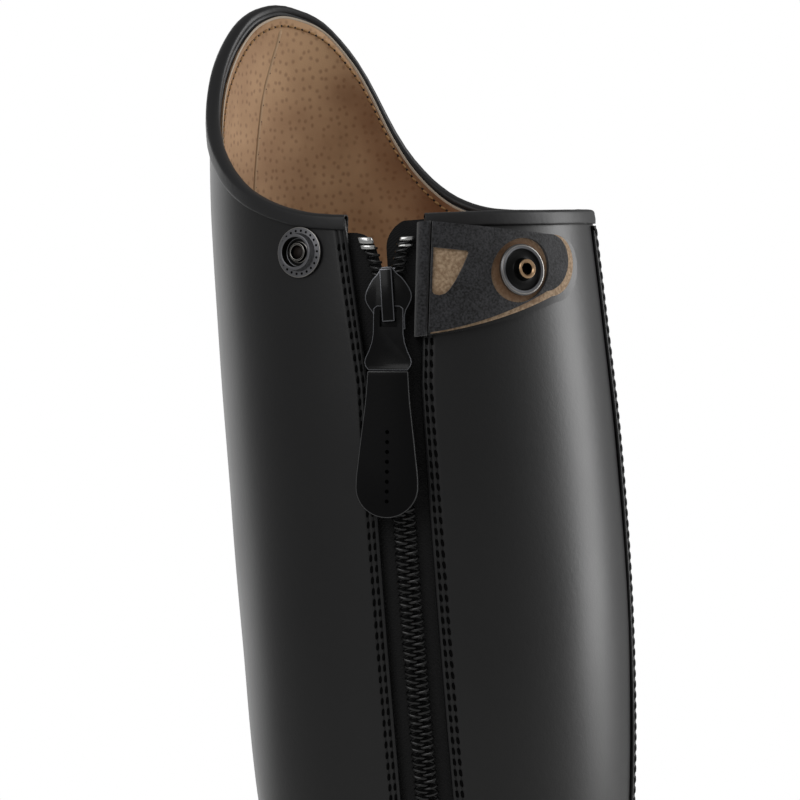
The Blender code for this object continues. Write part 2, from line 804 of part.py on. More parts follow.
def build_top_stop(name, side):
    """A bright metal stop clamped over the end of the coil."""
    high = ZIP_TOP - 0.0015

    def place(a, b, inset):
        height = mix(high - STOP_HEIGHT, high, b)
        x = coil_gap(height) + mix(-0.0002, CHAIN_WIDTH / 2 + 0.0004, a)
        return back_point(side * x, height, inset)

    return slab(
        name, 2, 1,
        lambda a, b: place(a, b, COIL_INSET),
        lambda a, b: place(a, b, CHAIN_INSET - 0.0003),
        BRIGHT_METAL,
    )


def build_zip_end_patch():
    """A leather patch that covers and holds the zip's lower end."""
    low, high = ZIP_END_HEIGHT - 0.006, ZIP_END_HEIGHT + 0.016
    half = SLOT_HALF + 0.0055

    def place(a, b, out):
        height = mix(low, high, b)
        width = half * math.sqrt(max(1 - (1 - min(b / 0.5, 1.0)) ** 2 * 0.75, 0.0))
        return back_point(mix(-width, width, a), height, -out)

    return slab(
        "zip_end_patch", 6, 6,
        lambda a, b: place(a, b, 1.5 * GAP),
        lambda a, b: place(a, b, 1.5 * GAP + COUNTER_THICKNESS),
        BLACK_LEATHER,
    )


def slider_frame():
    """The slider's own frame: the point on the back line at its top end, and its three directions."""
    height = BACK_HEIGHT - SLIDER_DROP
    top = back_point(0.0, height, 0.0)
    bottom = back_point(0.0, height - SLIDER_LENGTH - PULLER_LENGTH * 0.4, 0.0)
    down = (bottom - top).normalized()
    across = Vector((1.0, 0.0, 0.0))
    return top, across, down.cross(across).normalized(), down


SLIDER_LIFT = 0.0004
PIVOT_OUT = SLIDER_LIFT + SLIDER_PLATE + BRIDGE_RISE / 2


def on_slider(x, down, out):
    """A point in the slider's frame, in the boot's."""
    origin, across, outward, along = slider_frame()
    return origin + across * x + along * down + outward * out


def slider_outline():
    """The heart-shaped plate: two shoulders at the mouth, and a straight tail."""
    half = SLIDER_WIDTH / 2
    shape = ((0.10, 0.00), (0.42, 0.02), (0.80, 0.16), (0.98, 0.34), (1.0, 0.46), (0.86, 0.62),
             (0.72, 0.74), (0.66, 0.88), (0.62, 1.0))
    right = [(half * x, SLIDER_LENGTH * d) for x, d in shape]
    return right + [(-x, d) for x, d in reversed(right)]


def build_slider():
    """The slider: a front plate with its bridge, a wedge between the coils, and a plate behind the tape."""
    plate_top = SLIDER_LIFT + SLIDER_PLATE
    behind = TAPE_INSET + TAPE_THICKNESS + 2 * GAP
    half = BRIDGE_WIDTH / 2
    start, end = 0.05 * SLIDER_LENGTH, 0.05 * SLIDER_LENGTH + BRIDGE_LENGTH
    bar_low, bar_high = plate_top + BRIDGE_RISE, plate_top + BRIDGE_RISE + BRIDGE_BAR
    back_half, back_end = SLIDER_WIDTH * 0.42, SLIDER_LENGTH * 0.9
    joins = [
        box_cutter("bridge_bar", (-half, start, bar_low), (half, end, bar_high)),
        box_cutter("bridge_head", (-half, start, SLIDER_LIFT), (half, start + BRIDGE_BAR, bar_high - 0.0002)),
        box_cutter("bridge_foot", (-half, end - BRIDGE_BAR, SLIDER_LIFT), (half, end, bar_high - 0.0002)),
        box_cutter(
            "wedge", (-WEDGE_HALF, 0.0004, -behind - SLIDER_PLATE / 2), (WEDGE_HALF, 0.0036, plate_top - 0.0002)
        ),
        box_cutter("back_plate", (-back_half, 0.0002, -behind - SLIDER_PLATE), (back_half, back_end, -behind)),
    ]
    outline = slider_outline()
    return plate("zip_slider", outline, SLIDER_LIFT, plate_top, on_slider, BLACK_METAL, joins=joins)


def canted(x, down):
    """A point of the pull, swung a little to the outer side about its pivot."""
    deep = down - PIVOT_DROP
    return (
        x * math.cos(PULL_CANT) - deep * math.sin(PULL_CANT),
        PIVOT_DROP + deep * math.cos(PULL_CANT) + x * math.sin(PULL_CANT),
    )


def hang(obj):
    """Moves an object's origin to the axis that the pull turns on."""
    pivot = on_slider(0.0, PIVOT_DROP, PIVOT_OUT)
    obj.data.transform(Matrix.Translation(-pivot))
    obj.location = pivot
    return obj


def build_pull_tab():
    """The metal pull: an eye round the bridge, a neck and a flared foot that holds the leather."""
    top = PIVOT_DROP - PULL_BAR
    foot = top + PULL_LENGTH
    neck, wide = PULL_NECK_WIDTH / 2, PULL_FOOT_WIDTH / 2
    shape = ((0.80, 0.0), (1.0, 0.05), (1.0, 0.20), (0.98, 0.45))
    right = [(neck * x, mix(top, foot, d)) for x, d in shape]
    right += [(mix(neck, wide, x), mix(top, foot, d)) for x, d in ((0.12, 0.6), (0.6, 0.76), (1.0, 0.88), (0.72, 1.0))]
    outline = right + [(-x, d) for x, d in reversed(right)]
    window = BRIDGE_WIDTH / 2 + 0.0008
    foot_end = 0.05 * SLIDER_LENGTH + BRIDGE_LENGTH
    window_top = PIVOT_DROP + PULL_BAR
    cutter = box_cutter("pull_window", (-window, window_top, -0.01), (window, foot_end + 0.0012, 0.01))
    low, high = PIVOT_OUT - PULL_THICKNESS / 2, PIVOT_OUT + PULL_THICKNESS / 2

    def place(x, down, out):
        swung_x, swung_down = canted(x, down)
        return on_slider(swung_x, swung_down, out)

    return hang(plate("pull_tab", outline, low, high, place, BLACK_METAL, [cutter]))


def build_pull_leather():
    """The leather puller that hangs from the metal pull, rounded at its end."""
    top = PIVOT_DROP - PULL_BAR + PULL_LENGTH + GAP
    radius = PULLER_WIDTH / 2
    straight = PULLER_LENGTH - radius
    right = [
        (mix(PULLER_TOP_WIDTH / 2, radius, ease(-0.5, 1.0, share) * 1.35 - 0.35), top + straight * share)
        for share in [k / 5 for k in range(5)]
    ]
    right += [
        (radius * math.cos(a), top + straight + radius * math.sin(a))
        for a in [math.pi / 2 * k / 7 for k in range(8)]
    ]
    outline = right + [(-x, d) for x, d in reversed(right[:-1])]
    low, high = PIVOT_OUT - PULLER_THICKNESS / 2, PIVOT_OUT + PULLER_THICKNESS / 2

    def place(x, down, out):
        swung_x, swung_down = canted(x, down)
        return on_slider(swung_x, swung_down, out)

    return hang(plate("pull_leather", outline, low, high, place, BLACK_LEATHER))


def snap(name, profile, centre, normal, spec):
    """A turned snap half: a closed profile of (radius, height), turned about its own axis."""
    bm = bmesh.new()
    verts = [bm.verts.new((r, 0.0, h)) for r, h in profile]
    for i in range(len(verts)):
        bm.edges.new((verts[i], verts[(i + 1) % len(verts)]))
    obj = add_object(name, bm, spec)
    turned = obj.modifiers.new("turned", "SCREW")
    turned.axis = "Z"
    turned.angle = 2 * math.pi
    turned.steps = 16
    turned.render_steps = 16
    turned.use_merge_vertices = True
    turned.merge_threshold = 0.00001
    bake(obj)
    turn = normal.to_track_quat("Z", "Y").to_matrix()
    bend(obj, lambda co: centre + turn @ co)
    return obj


def build_snap_socket():
    """The socket on the leg: a flange, a raised ring and a recessed tube round the hole."""
    level = level_at(BACK_HEIGHT - SOCKET_DROP, SOCKET_TURN)
    point, normal, _, _ = skin_frame(SOCKET_TURN, level)
    flange, ring, tube, bore = (d / 2 for d in (SNAP_FLANGE, SNAP_RING, SNAP_TUBE, SNAP_BORE))
    wall = 0.0009
    profile = [
        (bore, 0.0), (flange, 0.0), (flange, SNAP_PLATE), (ring, SNAP_PLATE), (ring, SNAP_HEIGHT),
        (ring - wall, SNAP_HEIGHT), (ring - wall, SNAP_PLATE), (tube, SNAP_PLATE),
        (tube, SNAP_HEIGHT * 0.62), (bore, SNAP_HEIGHT * 0.62),
    ]
    return snap("snap_socket", profile, point + normal * GAP, normal, BLACK_METAL)


def tab_frame(along, drop):
    """Point, normal and turn where the tab lies: along the leg from the opening's edge, below the collar."""
    height = BACK_HEIGHT - drop
    level = back_level(height)
    radius = half_width(level, 1.0)
    edge = slot_half(height)
    turn = turn_of(edge, level) - along / radius
    point, normal, _, _ = skin_frame(turn, level_at_turn(height, turn))
    return point, normal


def level_at_turn(height, turn):
    """The shaft's level at a height and a turn, which the collar's line fixes."""
    share = (height - ANKLE_HEIGHT) / (collar_height(turn) - ANKLE_HEIGHT)
    return ANKLE_ROW + min(share, 1.0)


def tab_end(setback):
    """Tip, radius and drop of the round end of a layer that stops short of the leather's tip."""
    return TAB_LENGTH - setback, TAB_TIP_RADIUS - setback * 0.2, STUD_DROP + 0.0005 - setback * 0.28


def tab_edges(along, setback):
    """Upper and lower edge of the tab, as drops below the collar, at a place along it."""
    tip, radius, end_drop = tab_end(setback)
    centre = tip - radius
    share = min(max(along / centre, 0.0), 1.0)
    top = mix(TAB_DROP, end_drop - radius, share)
    bottom = mix(TAB_DROP + TAB_BASE - setback * 0.1, end_drop + radius, share**1.7)
    if along > centre:
        reach = math.sqrt(max(radius**2 - (along - centre) ** 2, 0.0))
        top, bottom = end_drop - reach, end_drop + reach
    return top, bottom


def tab_layer(name, start, setback, low, high, spec, cuts=()):
    """One layer of the tab, flat first, then cut, then bent round the leg."""
    tip, radius, _ = tab_end(setback)
    centre = tip - radius
    body = 9
    end = 7
    stations = [mix(start, centre, k / body) for k in range(body)]
    stations += [centre + (tip - centre) * math.sin(math.pi / 2 * k / end) for k in range(end + 1)]
    bm = unit_grid(len(stations) - 1, 2)
    old = list(bm.verts)
    grown = bmesh.ops.extrude_face_region(bm, geom=list(bm.faces))["geom"]
    new = [v for v in grown if isinstance(v, bmesh.types.BMVert)]
    for verts, out in ((old, low), (new, high)):
        for v in verts:
            along = stations[round(v.co.x * (len(stations) - 1))]
            top, bottom = tab_edges(along, setback)
            v.co = (along, mix(top, bottom, v.co.y), out)
    obj = add_object(name, bm, spec)
    for cutter in cuts:
        cut(obj, cutter)
    bake(obj)

    def on_leg(co):
        point, normal = tab_frame(co.x, co.y)
        return point + normal * co.z

    bend(obj, on_leg)
    return obj


def cylinder_cutter(name, centre, radius, low, high, sides):
    bm = bmesh.new()
    bmesh.ops.create_cone(
        bm, cap_ends=True, segments=sides, radius1=radius, radius2=radius, depth=high - low
    )
    bmesh.ops.translate(bm, verts=bm.verts, vec=(*centre, (low + high) / 2))
    return add_object(name, bm, BLACK_METAL, "cutters")


TAB_LEATHER_TOP = TAB_LIFT + TAB_LEATHER
TAB_LINING_TOP = TAB_LEATHER_TOP + GAP + TAB_LINING
TAB_FACING_TOP = TAB_LINING_TOP + GAP + TAB_FACING
FOLD_THICKNESS = 0.0014


def build_tab():
    """The snap tab folded open: its outer leather against the leg, the lining, and the suede facing."""
    layer_low = TAB_LIFT
    leather = tab_layer("closure_tab", TAB_ROOT, 0.0, layer_low, TAB_LEATHER_TOP, BLACK_LEATHER)
    tab_layer("tab_lining", TAB_ROOT, LINING_SETBACK, TAB_LEATHER_TOP + GAP, TAB_LINING_TOP, TAN_LEATHER)
    hole = cylinder_cutter("stud_hole", (STUD_ALONG, STUD_DROP), STUD_HOLE / 2, 0.0, 0.01, 24)
    window_outline = ((0.0025, 0.0108), (0.0120, 0.0128), (0.0084, 0.0215), (0.0055, 0.0246), (0.0025, 0.0238))
    window = flat_plate("facing_window", window_outline, 0.0, 0.01, BLACK_METAL, "cutters")
    tab_layer(
        "tab_facing", TAB_ROOT, FACING_SETBACK, TAB_LINING_TOP + GAP, TAB_FACING_TOP, BLACK_SUEDE, [hole, window]
    )
    build_tab_fold()
    return leather


def build_tab_fold():
    """The tab's root: a leather fold that wraps the edge of the zip's opening and holds the layers."""
    top, bottom = TAB_DROP, TAB_DROP + TAB_BASE
    inner = ((-2 * GAP, -WALL), (-2 * GAP, TAB_LIFT - GAP), (TAB_ROOT - GAP, TAB_LIFT - GAP))
    outer = ((-2 * GAP - FOLD_THICKNESS, -WALL), (-2 * GAP - FOLD_THICKNESS, TAB_LINING_TOP))
    outer += ((TAB_ROOT - GAP, TAB_LINING_TOP),)

    def place(a, b, profile):
        along, out = profile[round(2 * a)]
        point, normal = tab_frame(max(along, 0.0), mix(top, bottom, b))
        sideways = Vector((normal.y, -normal.x, 0.0)).normalized() * -1
        return point + normal * out + sideways * min(along, 0.0)

    return slab("tab_fold", 2, 6, lambda a, b: place(a, b, inner), lambda a, b: place(a, b, outer), BLACK_LEATHER)


def build_snap_stud():
    """The stud on the tab: a dished flange and a hollow post."""
    point, normal = tab_frame(STUD_ALONG, STUD_DROP)
    flange, post, bore = (d / 2 for d in (SNAP_FLANGE, SNAP_TUBE, SNAP_BORE))
    lip = SNAP_PLATE * 2
    profile = [
        (bore, 0.0), (flange, 0.0), (flange, lip), (flange - 0.0011, lip), (flange - 0.0018, SNAP_PLATE),
        (post, SNAP_PLATE), (post, SNAP_HEIGHT + SNAP_PLATE), (bore, SNAP_HEIGHT + SNAP_PLATE),
    ]
    return snap("snap_stud", profile, point + normal * (TAB_LINING_TOP + GAP), normal, BLACK_METAL)


def clear_scene():
    for obj in list(bpy.data.objects):
        bpy.data.objects.remove(obj)


def main():
    clear_scene()
    build_upper()
    build_collar_binding()
    build_outsole()
    build_welt()
    build_insole()
    build_heel()
    build_heel_counter()
    build_spur_rest()
    build_side_seam("side_seam_inner", math.radians(272))
    build_side_seam("side_seam_outer", math.radians(98))
    build_zip_tape("zip_tape_outer", -1.0)
    build_zip_tape("zip_tape_inner", 1.0)
    build_zip_chain()
    build_open_coil("zip_coil_outer", -1.0)
    build_open_coil("zip_coil_inner", 1.0)
    build_top_stop("top_stop_outer", -1.0)
    build_top_stop("top_stop_inner", 1.0)
    build_zip_end_patch()
    build_slider()
    build_pull_tab()
    build_pull_leather()
    build_snap_socket()
    build_tab()
    build_snap_stud()


main()
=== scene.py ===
"""Looks of the left dress riding boot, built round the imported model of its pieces.

Metres, +Z up, toe towards +Y, outer side of the leg towards -X.
"""

import bisect
import json
import math

import bmesh
import bpy
from mathutils import Matrix, Vector, noise

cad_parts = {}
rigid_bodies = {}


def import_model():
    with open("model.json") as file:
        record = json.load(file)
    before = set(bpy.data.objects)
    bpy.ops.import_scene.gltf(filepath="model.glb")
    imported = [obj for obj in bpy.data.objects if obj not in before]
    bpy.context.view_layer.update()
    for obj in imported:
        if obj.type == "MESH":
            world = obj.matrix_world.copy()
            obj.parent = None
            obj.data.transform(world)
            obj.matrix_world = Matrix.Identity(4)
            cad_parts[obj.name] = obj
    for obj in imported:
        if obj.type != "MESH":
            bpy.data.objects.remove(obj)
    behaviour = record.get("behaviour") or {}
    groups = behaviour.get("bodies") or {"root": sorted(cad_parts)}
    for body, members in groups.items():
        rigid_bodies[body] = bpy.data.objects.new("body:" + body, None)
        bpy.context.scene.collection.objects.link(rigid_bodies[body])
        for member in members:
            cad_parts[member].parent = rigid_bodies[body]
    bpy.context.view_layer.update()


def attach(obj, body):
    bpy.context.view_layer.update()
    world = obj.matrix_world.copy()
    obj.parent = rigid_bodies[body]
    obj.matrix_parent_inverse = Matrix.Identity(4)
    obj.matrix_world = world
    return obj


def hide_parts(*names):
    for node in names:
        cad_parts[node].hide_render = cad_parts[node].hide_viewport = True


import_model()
# The frame's own camera and lights go, as the stage at the end has its own.
for obj in list(bpy.data.objects):
    if obj.type in ("CAMERA", "LIGHT"):
        bpy.data.objects.remove(obj)

# Upper: the outer leather of the leg and the foot.
# Black box calf, 1.6 mm thick, shaped over the last and the boot tree. It is open at the collar and slit
# up the back, where its edges are turned, glued to the zip's tape and stitched down twice.
LAST_LENGTH = 0.258
BALL_WIDTH = 0.086
INSTEP_HEIGHT = 0.100
HEEL_SEAT_BACK = 0.036
HEEL_HEIGHT = 0.026
TOE_SPRING = 0.009
ANKLE_HEIGHT = 0.150
BACK_HEIGHT = 0.440
COLLAR_RISE = 0.064
CALF_WIDTH = 0.1155
CALF_DEPTH = 0.121
SOLE_THICKNESS = 0.0045
GAP = 0.0003
OUTER_LEATHER = 0.0016
SLOT_HALF = 0.0077
SLOT_FLARE = 0.0043
SLOT_FLARE_LENGTH = 0.050
ZIP_END_HEIGHT = 0.097
ZIP_END_LENGTH = 0.008
STITCH_ROWS = (0.0015, 0.0031)
TURNED_EDGE_DROP, TURNED_EDGE_REACH = 0.0009, 0.0010
GROOVE_DEPTH, GROOVE_REACH = 0.00038, 0.00035

# Where the waist of the sole starts to fall from the heel and reaches the floor, and where the toe
# starts to rise, as shares of the last.
ARCH_FROM, ARCH_TO, SPRING_FROM = 0.27, 0.60, 0.74

# Unevenness left by lasting and wear: its depth, and its waves to the metre, about 36 mm each.
HAND_DEPTH, HAND_WAVES = 0.00025, 28.0

# back, rise, front, ridge, heel, seat, waist, ball, toe, swing, dip of each section of the foot:
# places along the last, heights over the sole and fullness, as shares of the sizes above.
FOOT_SECTIONS = (
    (0.000, 0.00, 1.000, 0.000, 1.08, 0.90, 0.71, 1.08, 1.13, 1.00, 1.00),
    (-0.004, 0.12, 1.002, 0.075, 1.11, 0.94, 0.75, 1.09, 1.14, 1.00, 1.00),
    (-0.014, 0.24, 0.999, 0.148, 1.14, 0.96, 0.77, 1.06, 1.11, 0.98, 0.95),
    (-0.020, 0.34, 0.988, 0.220, 1.14, 0.97, 0.78, 0.99, 1.03, 0.95, 0.88),
    (-0.021, 0.42, 0.964, 0.286, 1.13, 0.97, 0.79, 0.90, 0.93, 0.91, 0.80),
    (-0.018, 0.50, 0.923, 0.348, 1.12, 0.97, 0.80, 0.82, 0.84, 0.86, 0.70),
    (-0.012, 0.57, 0.862, 0.408, 1.10, 0.96, 0.80, 0.75, 0.76, 0.79, 0.60),
    (-0.006, 0.64, 0.788, 0.474, 1.08, 0.95, 0.80, 0.71, 0.70, 0.70, 0.49),
    (0.001, 0.71, 0.706, 0.554, 1.05, 0.93, 0.80, 0.70, 0.68, 0.58, 0.38),
    (0.006, 0.78, 0.626, 0.652, 1.01, 0.91, 0.80, 0.72, 0.68, 0.44, 0.28),
    (0.010, 0.86, 0.550, 0.775, 0.97, 0.89, 0.81, 0.75, 0.71, 0.30, 0.18),
    (0.012, 0.94, 0.486, 0.914, 0.93, 0.88, 0.83, 0.80, 0.77, 0.17, 0.10),
    (0.012, 1.03, 0.437, 1.065, 0.91, 0.89, 0.86, 0.85, 0.84, 0.07, 0.04),
)
FULLNESS_STATIONS = (0.0, 0.17, 0.40, 0.70, 1.0)
SWING_LINE = ((0.0, 0.0), (0.20, -0.009), (0.35, -0.036), (0.46, -0.054), (0.57, -0.040),
              (0.70, -0.004), (0.83, 0.022), (0.93, 0.040), (1.0, 0.056))

# level, outer, inner, back, front of each section of the shaft, as shares of its height and the calf.
SHAFT_SECTIONS = (
    (0.00, 0.345, 0.335, 0.276, 0.563),
    (0.10, 0.390, 0.374, 0.300, 0.543),
    (0.22, 0.450, 0.432, 0.356, 0.533),
    (0.38, 0.503, 0.492, 0.432, 0.520),
    (0.56, 0.511, 0.520, 0.486, 0.513),
    (0.74, 0.513, 0.521, 0.500, 0.508),
    (0.88, 0.515, 0.505, 0.482, 0.500),
    (1.00, 0.512, 0.489, 0.452, 0.491),
    (1.11, 0.502, 0.478, 0.424, 0.484),
    (1.22, 0.495, 0.468, 0.400, 0.478),
)

# Degrees round the leg from the back by the outer side, and share of COLLAR_RISE.
COLLAR_LINE = ((0, -0.02), (24, 0.016), (44, 0.115), (60, 0.25), (83, 0.50), (100, 0.74), (118, 0.95),
               (131, 1.012), (141, 0.99), (151, 0.91), (160, 0.742), (165, 0.598), (171, 0.385),
               (177, 0.22), (184, 0.094), (192, 0.004), (204, -0.055), (233, -0.08), (263, -0.08),
               (300, -0.06), (330, -0.035), (360, -0.02))


def smooth_curve(table):
    """The smooth curve through the table's rows, as a function."""
    xs = [row[0] for row in table]
    values = [row[1] for row in table]
    last = len(xs) - 1
    slopes = []
    for k in range(len(xs)):
        low, high = max(k - 1, 0), min(k + 1, last)
        slopes.append((values[high] - values[low]) / (xs[high] - xs[low]))

    def value(x):
        x = min(max(x, xs[0]), xs[-1])
        i = min(max(bisect.bisect_left(xs, x) - 1, 0), last - 1)
        span = xs[i + 1] - xs[i]
        t = (x - xs[i]) / span
        rest = 1 - t
        return (
            (values[i] * (1 + 2 * t) + slopes[i] * span * t) * rest * rest
            + (values[i + 1] * (3 - 2 * t) - slopes[i + 1] * span * rest) * t * t
        )

    return value


def ease(low, high, x):
    """0 below low, 1 above high, and a soft step between."""
    t = min(max((x - low) / (high - low), 0.0), 1.0)
    return t * t * (3 - 2 * t)


def mix(a, b, share):
    return a + (b - a) * share


def along_last(share):
    return -HEEL_SEAT_BACK + share * LAST_LENGTH


def lift(y):
    """Height of the sole's bottom over the floor at a place along the foot."""
    share = (y + HEEL_SEAT_BACK) / LAST_LENGTH
    arch = HEEL_HEIGHT * (1 - ease(ARCH_FROM, ARCH_TO, share))
    return arch + TOE_SPRING * (max(share - SPRING_FROM, 0.0) / (1 - SPRING_FROM)) ** 2


def feather(y):
    return lift(y) + SOLE_THICKNESS + GAP


shaft_curves = [smooth_curve([(row[0], row[column]) for row in SHAFT_SECTIONS]) for column in range(1, 5)]
collar_curve = smooth_curve(COLLAR_LINE)
swing_curve = smooth_curve(SWING_LINE)


def shaft_section(height):
    """Back, front, outer and inner half widths of the shaft at a height."""
    level = (height - ANKLE_HEIGHT) / (BACK_HEIGHT - ANKLE_HEIGHT)
    outer, inner, back, front = (curve(level) for curve in shaft_curves)
    return -back * CALF_DEPTH, front * CALF_DEPTH, outer * CALF_WIDTH, inner * CALF_WIDTH


def side_of(turn):
    """-1 on the outer side of the leg and 1 on the inner side."""
    return -1.0 if math.sin(turn) >= 0 else 1.0


def shaft_point(turn, height):
    back, front, outer, inner = shaft_section(height)
    half = outer if side_of(turn) < 0 else inner
    y = (back + front) / 2 - (front - back) / 2 * math.cos(turn)
    return Vector((-half * math.sin(turn), y, height))


def foot_values(row):
    """The columns of the foot's sections at a whole or part row, as lengths and fullness."""
    tables = []
    for back, rise, front, ridge, *fullness, swing, dip in FOOT_SECTIONS:
        back, front = along_last(back), along_last(front)
        low, high = feather(back) + rise * INSTEP_HEIGHT, feather(front) + ridge * INSTEP_HEIGHT
        tables.append([back, low, front, high, *(v * BALL_WIDTH / 2 for v in fullness), swing, dip, 0.0])
    for step in (0, 1):
        height = ANKLE_HEIGHT + step * 0.1 * (BACK_HEIGHT - ANKLE_HEIGHT)
        back, front, outer, inner = shaft_section(height)
        skew = (inner - outer) / (inner + outer)
        tables.append([back, height, front, height, *[(outer + inner) / 2] * 5, 0.0, 0.0, skew])
    values = [smooth_curve([(k, t[c]) for k, t in enumerate(tables)])(row) for c in range(12)]
    return values[:4] + [smooth_curve(list(zip(FULLNESS_STATIONS, values[4:9])))] + values[9:]


ANKLE_ROW = float(len(FOOT_SECTIONS))
foot_rows = {}


def foot_point(turn, row):
    if row not in foot_rows:
        foot_rows[row] = foot_values(row)
    back, back_z, front, front_z, fullness, swing, dip, skew = foot_rows[row]
    share = (1 - math.cos(turn)) / 2
    side = side_of(turn)
    half = fullness(share)
    y = mix(back, front, share)
    straight = mix(feather(back), feather(front), share)
    z = mix(back_z, front_z, share) + dip * (feather(y) - straight)
    x = swing * BALL_WIDTH * swing_curve(share)
    return Vector((x + side * half * (1 + side * skew) * abs(math.sin(turn)), y, z))


def collar_height(turn):
    return BACK_HEIGHT + COLLAR_RISE * collar_curve(math.degrees(turn) % 360)


def skin(turn, level):
    """The upper's outer surface: round from the back by the outer side, and up by sections of the foot
    to ANKLE_ROW, then one step further to the collar."""
    turn = turn % (2 * math.pi)
    if level <= ANKLE_ROW:
        return foot_point(turn, level)
    return shaft_point(turn, mix(ANKLE_HEIGHT, collar_height(turn), level - ANKLE_ROW))


def skin_frame(turn, level):
    """Point, outward normal, direction down the surface, and direction round the leg."""
    step_turn, step_level = 0.01, 0.004
    point = skin(turn, level)
    high, low = min(level + step_level, ANKLE_ROW + 1), max(level - step_level, 0.0)
    round_leg = (skin(turn + step_turn, level) - skin(turn - step_turn, level)).normalized()
    up = (skin(turn, high) - skin(turn, low)).normalized()
    normal = up.cross(round_leg).normalized()
    return point, normal, round_leg.cross(normal).normalized() * -1, round_leg


def slot_half(height):
    """Half the width of the zip's opening in the leather."""
    flare = SLOT_FLARE * (1 - min((BACK_HEIGHT - height) / SLOT_FLARE_LENGTH, 1.0))
    return (SLOT_HALF + flare) * min(max((height - ZIP_END_HEIGHT) / ZIP_END_LENGTH, 0.0), 1.0)


def half_width(level, side):
    """Half width of the round that fits the back of the section at a level."""
    turn = 0.25
    return abs(skin(-side * turn, level).x) / math.sin(turn)


def turn_of(x, level):
    """The turn near the back at which the surface lies x to the side."""
    side = 1.0 if x > 0 else -1.0
    return math.asin(min(max(-x / half_width(level, side), -1.0), 1.0))


def surface_grid(columns, rows, place, measure=None):
    """A grid over the unit square, put in place by a function of its shares, with its own UV map if
    another function gives one."""
    bm = bmesh.new()
    bmesh.ops.create_grid(bm, x_segments=columns, y_segments=rows, size=0.5)
    shares = {v: (v.co.x + 0.5, v.co.y + 0.5) for v in bm.verts}
    if measure:
        layer = bm.loops.layers.uv.new("UVMap")
        for face in bm.faces:
            for loop in face.loops:
                loop[layer].uv = measure(*shares[loop.vert])
    for v, share in shares.items():
        v.co = place(*share)
    return bm


def make_piece(name, bm, material, sharp=35, weld=0.000004):
    """Makes the mesh an object, with its doubles merged, its faces out and its true edges sharp."""
    bmesh.ops.remove_doubles(bm, verts=bm.verts, dist=weld)
    bmesh.ops.recalc_face_normals(bm, faces=bm.faces)
    if all(e.is_manifold for e in bm.edges) and bm.calc_volume(signed=True) < 0:
        bmesh.ops.reverse_faces(bm, faces=bm.faces)
    mesh = bpy.data.meshes.new(name)
    bm.to_mesh(mesh)
    bm.free()
    mesh.shade_smooth()
    mesh.set_sharp_from_angle(angle=math.radians(sharp))
    mesh.materials.append(material)
    piece = bpy.data.objects.new(name, mesh)
    bpy.context.scene.collection.objects.link(piece)
    return piece


def fit(piece, slot, *nodes, body="boot"):
    """Hangs a finished piece on its body and hides the nodes that it stands for. Its slot argument is not
    used.
    """
    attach(piece, body)
    if nodes:
        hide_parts(*nodes)
    return piece


def thicken(piece, thickness):
    """Gives a sheet its thickness, away from the side that its faces look to."""
    modifier = piece.modifiers.new("thickness", "SOLIDIFY")
    modifier.thickness = thickness
    modifier.offset = -1.0
    modifier.use_even_offset = True
    return piece


def linear(code):
    """An sRGB hex colour as a linear colour with alpha."""
    channels = [int(code[i : i + 2], 16) / 255 for i in (1, 3, 5)]
    return (*[c / 12.92 if c <= 0.04045 else ((c + 0.055) / 1.055) ** 2.4 for c in channels], 1.0)


def new_material(name, **sockets):
    """A material with its Principled shader's own sockets set, and its node tree."""
    made = bpy.data.materials.new(name)
    made.use_nodes = True
    shader = made.node_tree.nodes["Principled BSDF"]
    for socket, value in sockets.items():
        shader.inputs[socket.replace("_", " ")].default_value = value
    return made, made.node_tree, shader


def add_node(tree, kind, settings, links=()):
    """Adds a node, sets its sockets or properties, and links (output, socket) pairs into it."""
    node = tree.nodes.new(kind)
    for key, value in settings.items():
        if isinstance(key, int) or key in node.inputs:
            node.inputs[key].default_value = value
        else:
            setattr(node, key, value)
    for output, socket in links:
        tree.links.new(output, node.inputs[socket])
    return node


def calf_leather(name, dark, light, rough_low, rough_high, grain, depth, coat, shine=0.5):
    """Box calf: tight pores and a fine wrinkle under a glaze, so highlights are broad and a little mottled.
    The colour changes over about 22 mm and the gloss over 45 mm. The pores, really 0.2 mm, are drawn as
    wide as the grain, to show."""
    made, tree, shader = new_material(
        name, IOR=1.5, Coat_Weight=coat, Coat_Roughness=0.3, Specular_IOR_Level=shine
    )
    place = add_node(tree, "ShaderNodeTexCoord", {}).outputs["Object"]
    mottle = add_node(tree, "ShaderNodeTexNoise", {"Scale": 45.0, "Detail": 4.0}, [(place, "Vector")])
    colour = add_node(
        tree, "ShaderNodeMix", {"data_type": "RGBA", 6: linear(dark), 7: linear(light)},
        [(mottle.outputs["Fac"], "Factor")],
    )
    haze = add_node(tree, "ShaderNodeTexNoise", {"Scale": 22.0, "Detail": 6.0}, [(place, "Vector")])
    rough = add_node(
        tree, "ShaderNodeMapRange", {"To Min": rough_low, "To Max": rough_high},
        [(haze.outputs["Fac"], "Value")],
    )
    pores = add_node(tree, "ShaderNodeTexVoronoi", {"Scale": 1 / grain}, [(place, "Vector")])
    wrinkle = add_node(
        tree, "ShaderNodeTexNoise", {"Scale": 0.35 / grain, "Detail": 3.0}, [(place, "Vector")]
    )
    fine = add_node(
        tree, "ShaderNodeBump", {"Strength": 0.5, "Distance": depth}, [(pores.outputs["Distance"], "Height")]
    )
    coarse = add_node(
        tree, "ShaderNodeBump", {"Strength": 0.5, "Distance": depth * 3},
        [(wrinkle.outputs["Fac"], "Height"), (fine.outputs["Normal"], "Normal")],
    )
    tree.links.new(colour.outputs[2], shader.inputs["Base Color"])
    tree.links.new(rough.outputs["Result"], shader.inputs["Roughness"])
    tree.links.new(coarse.outputs["Normal"], shader.inputs["Normal"])
    return made


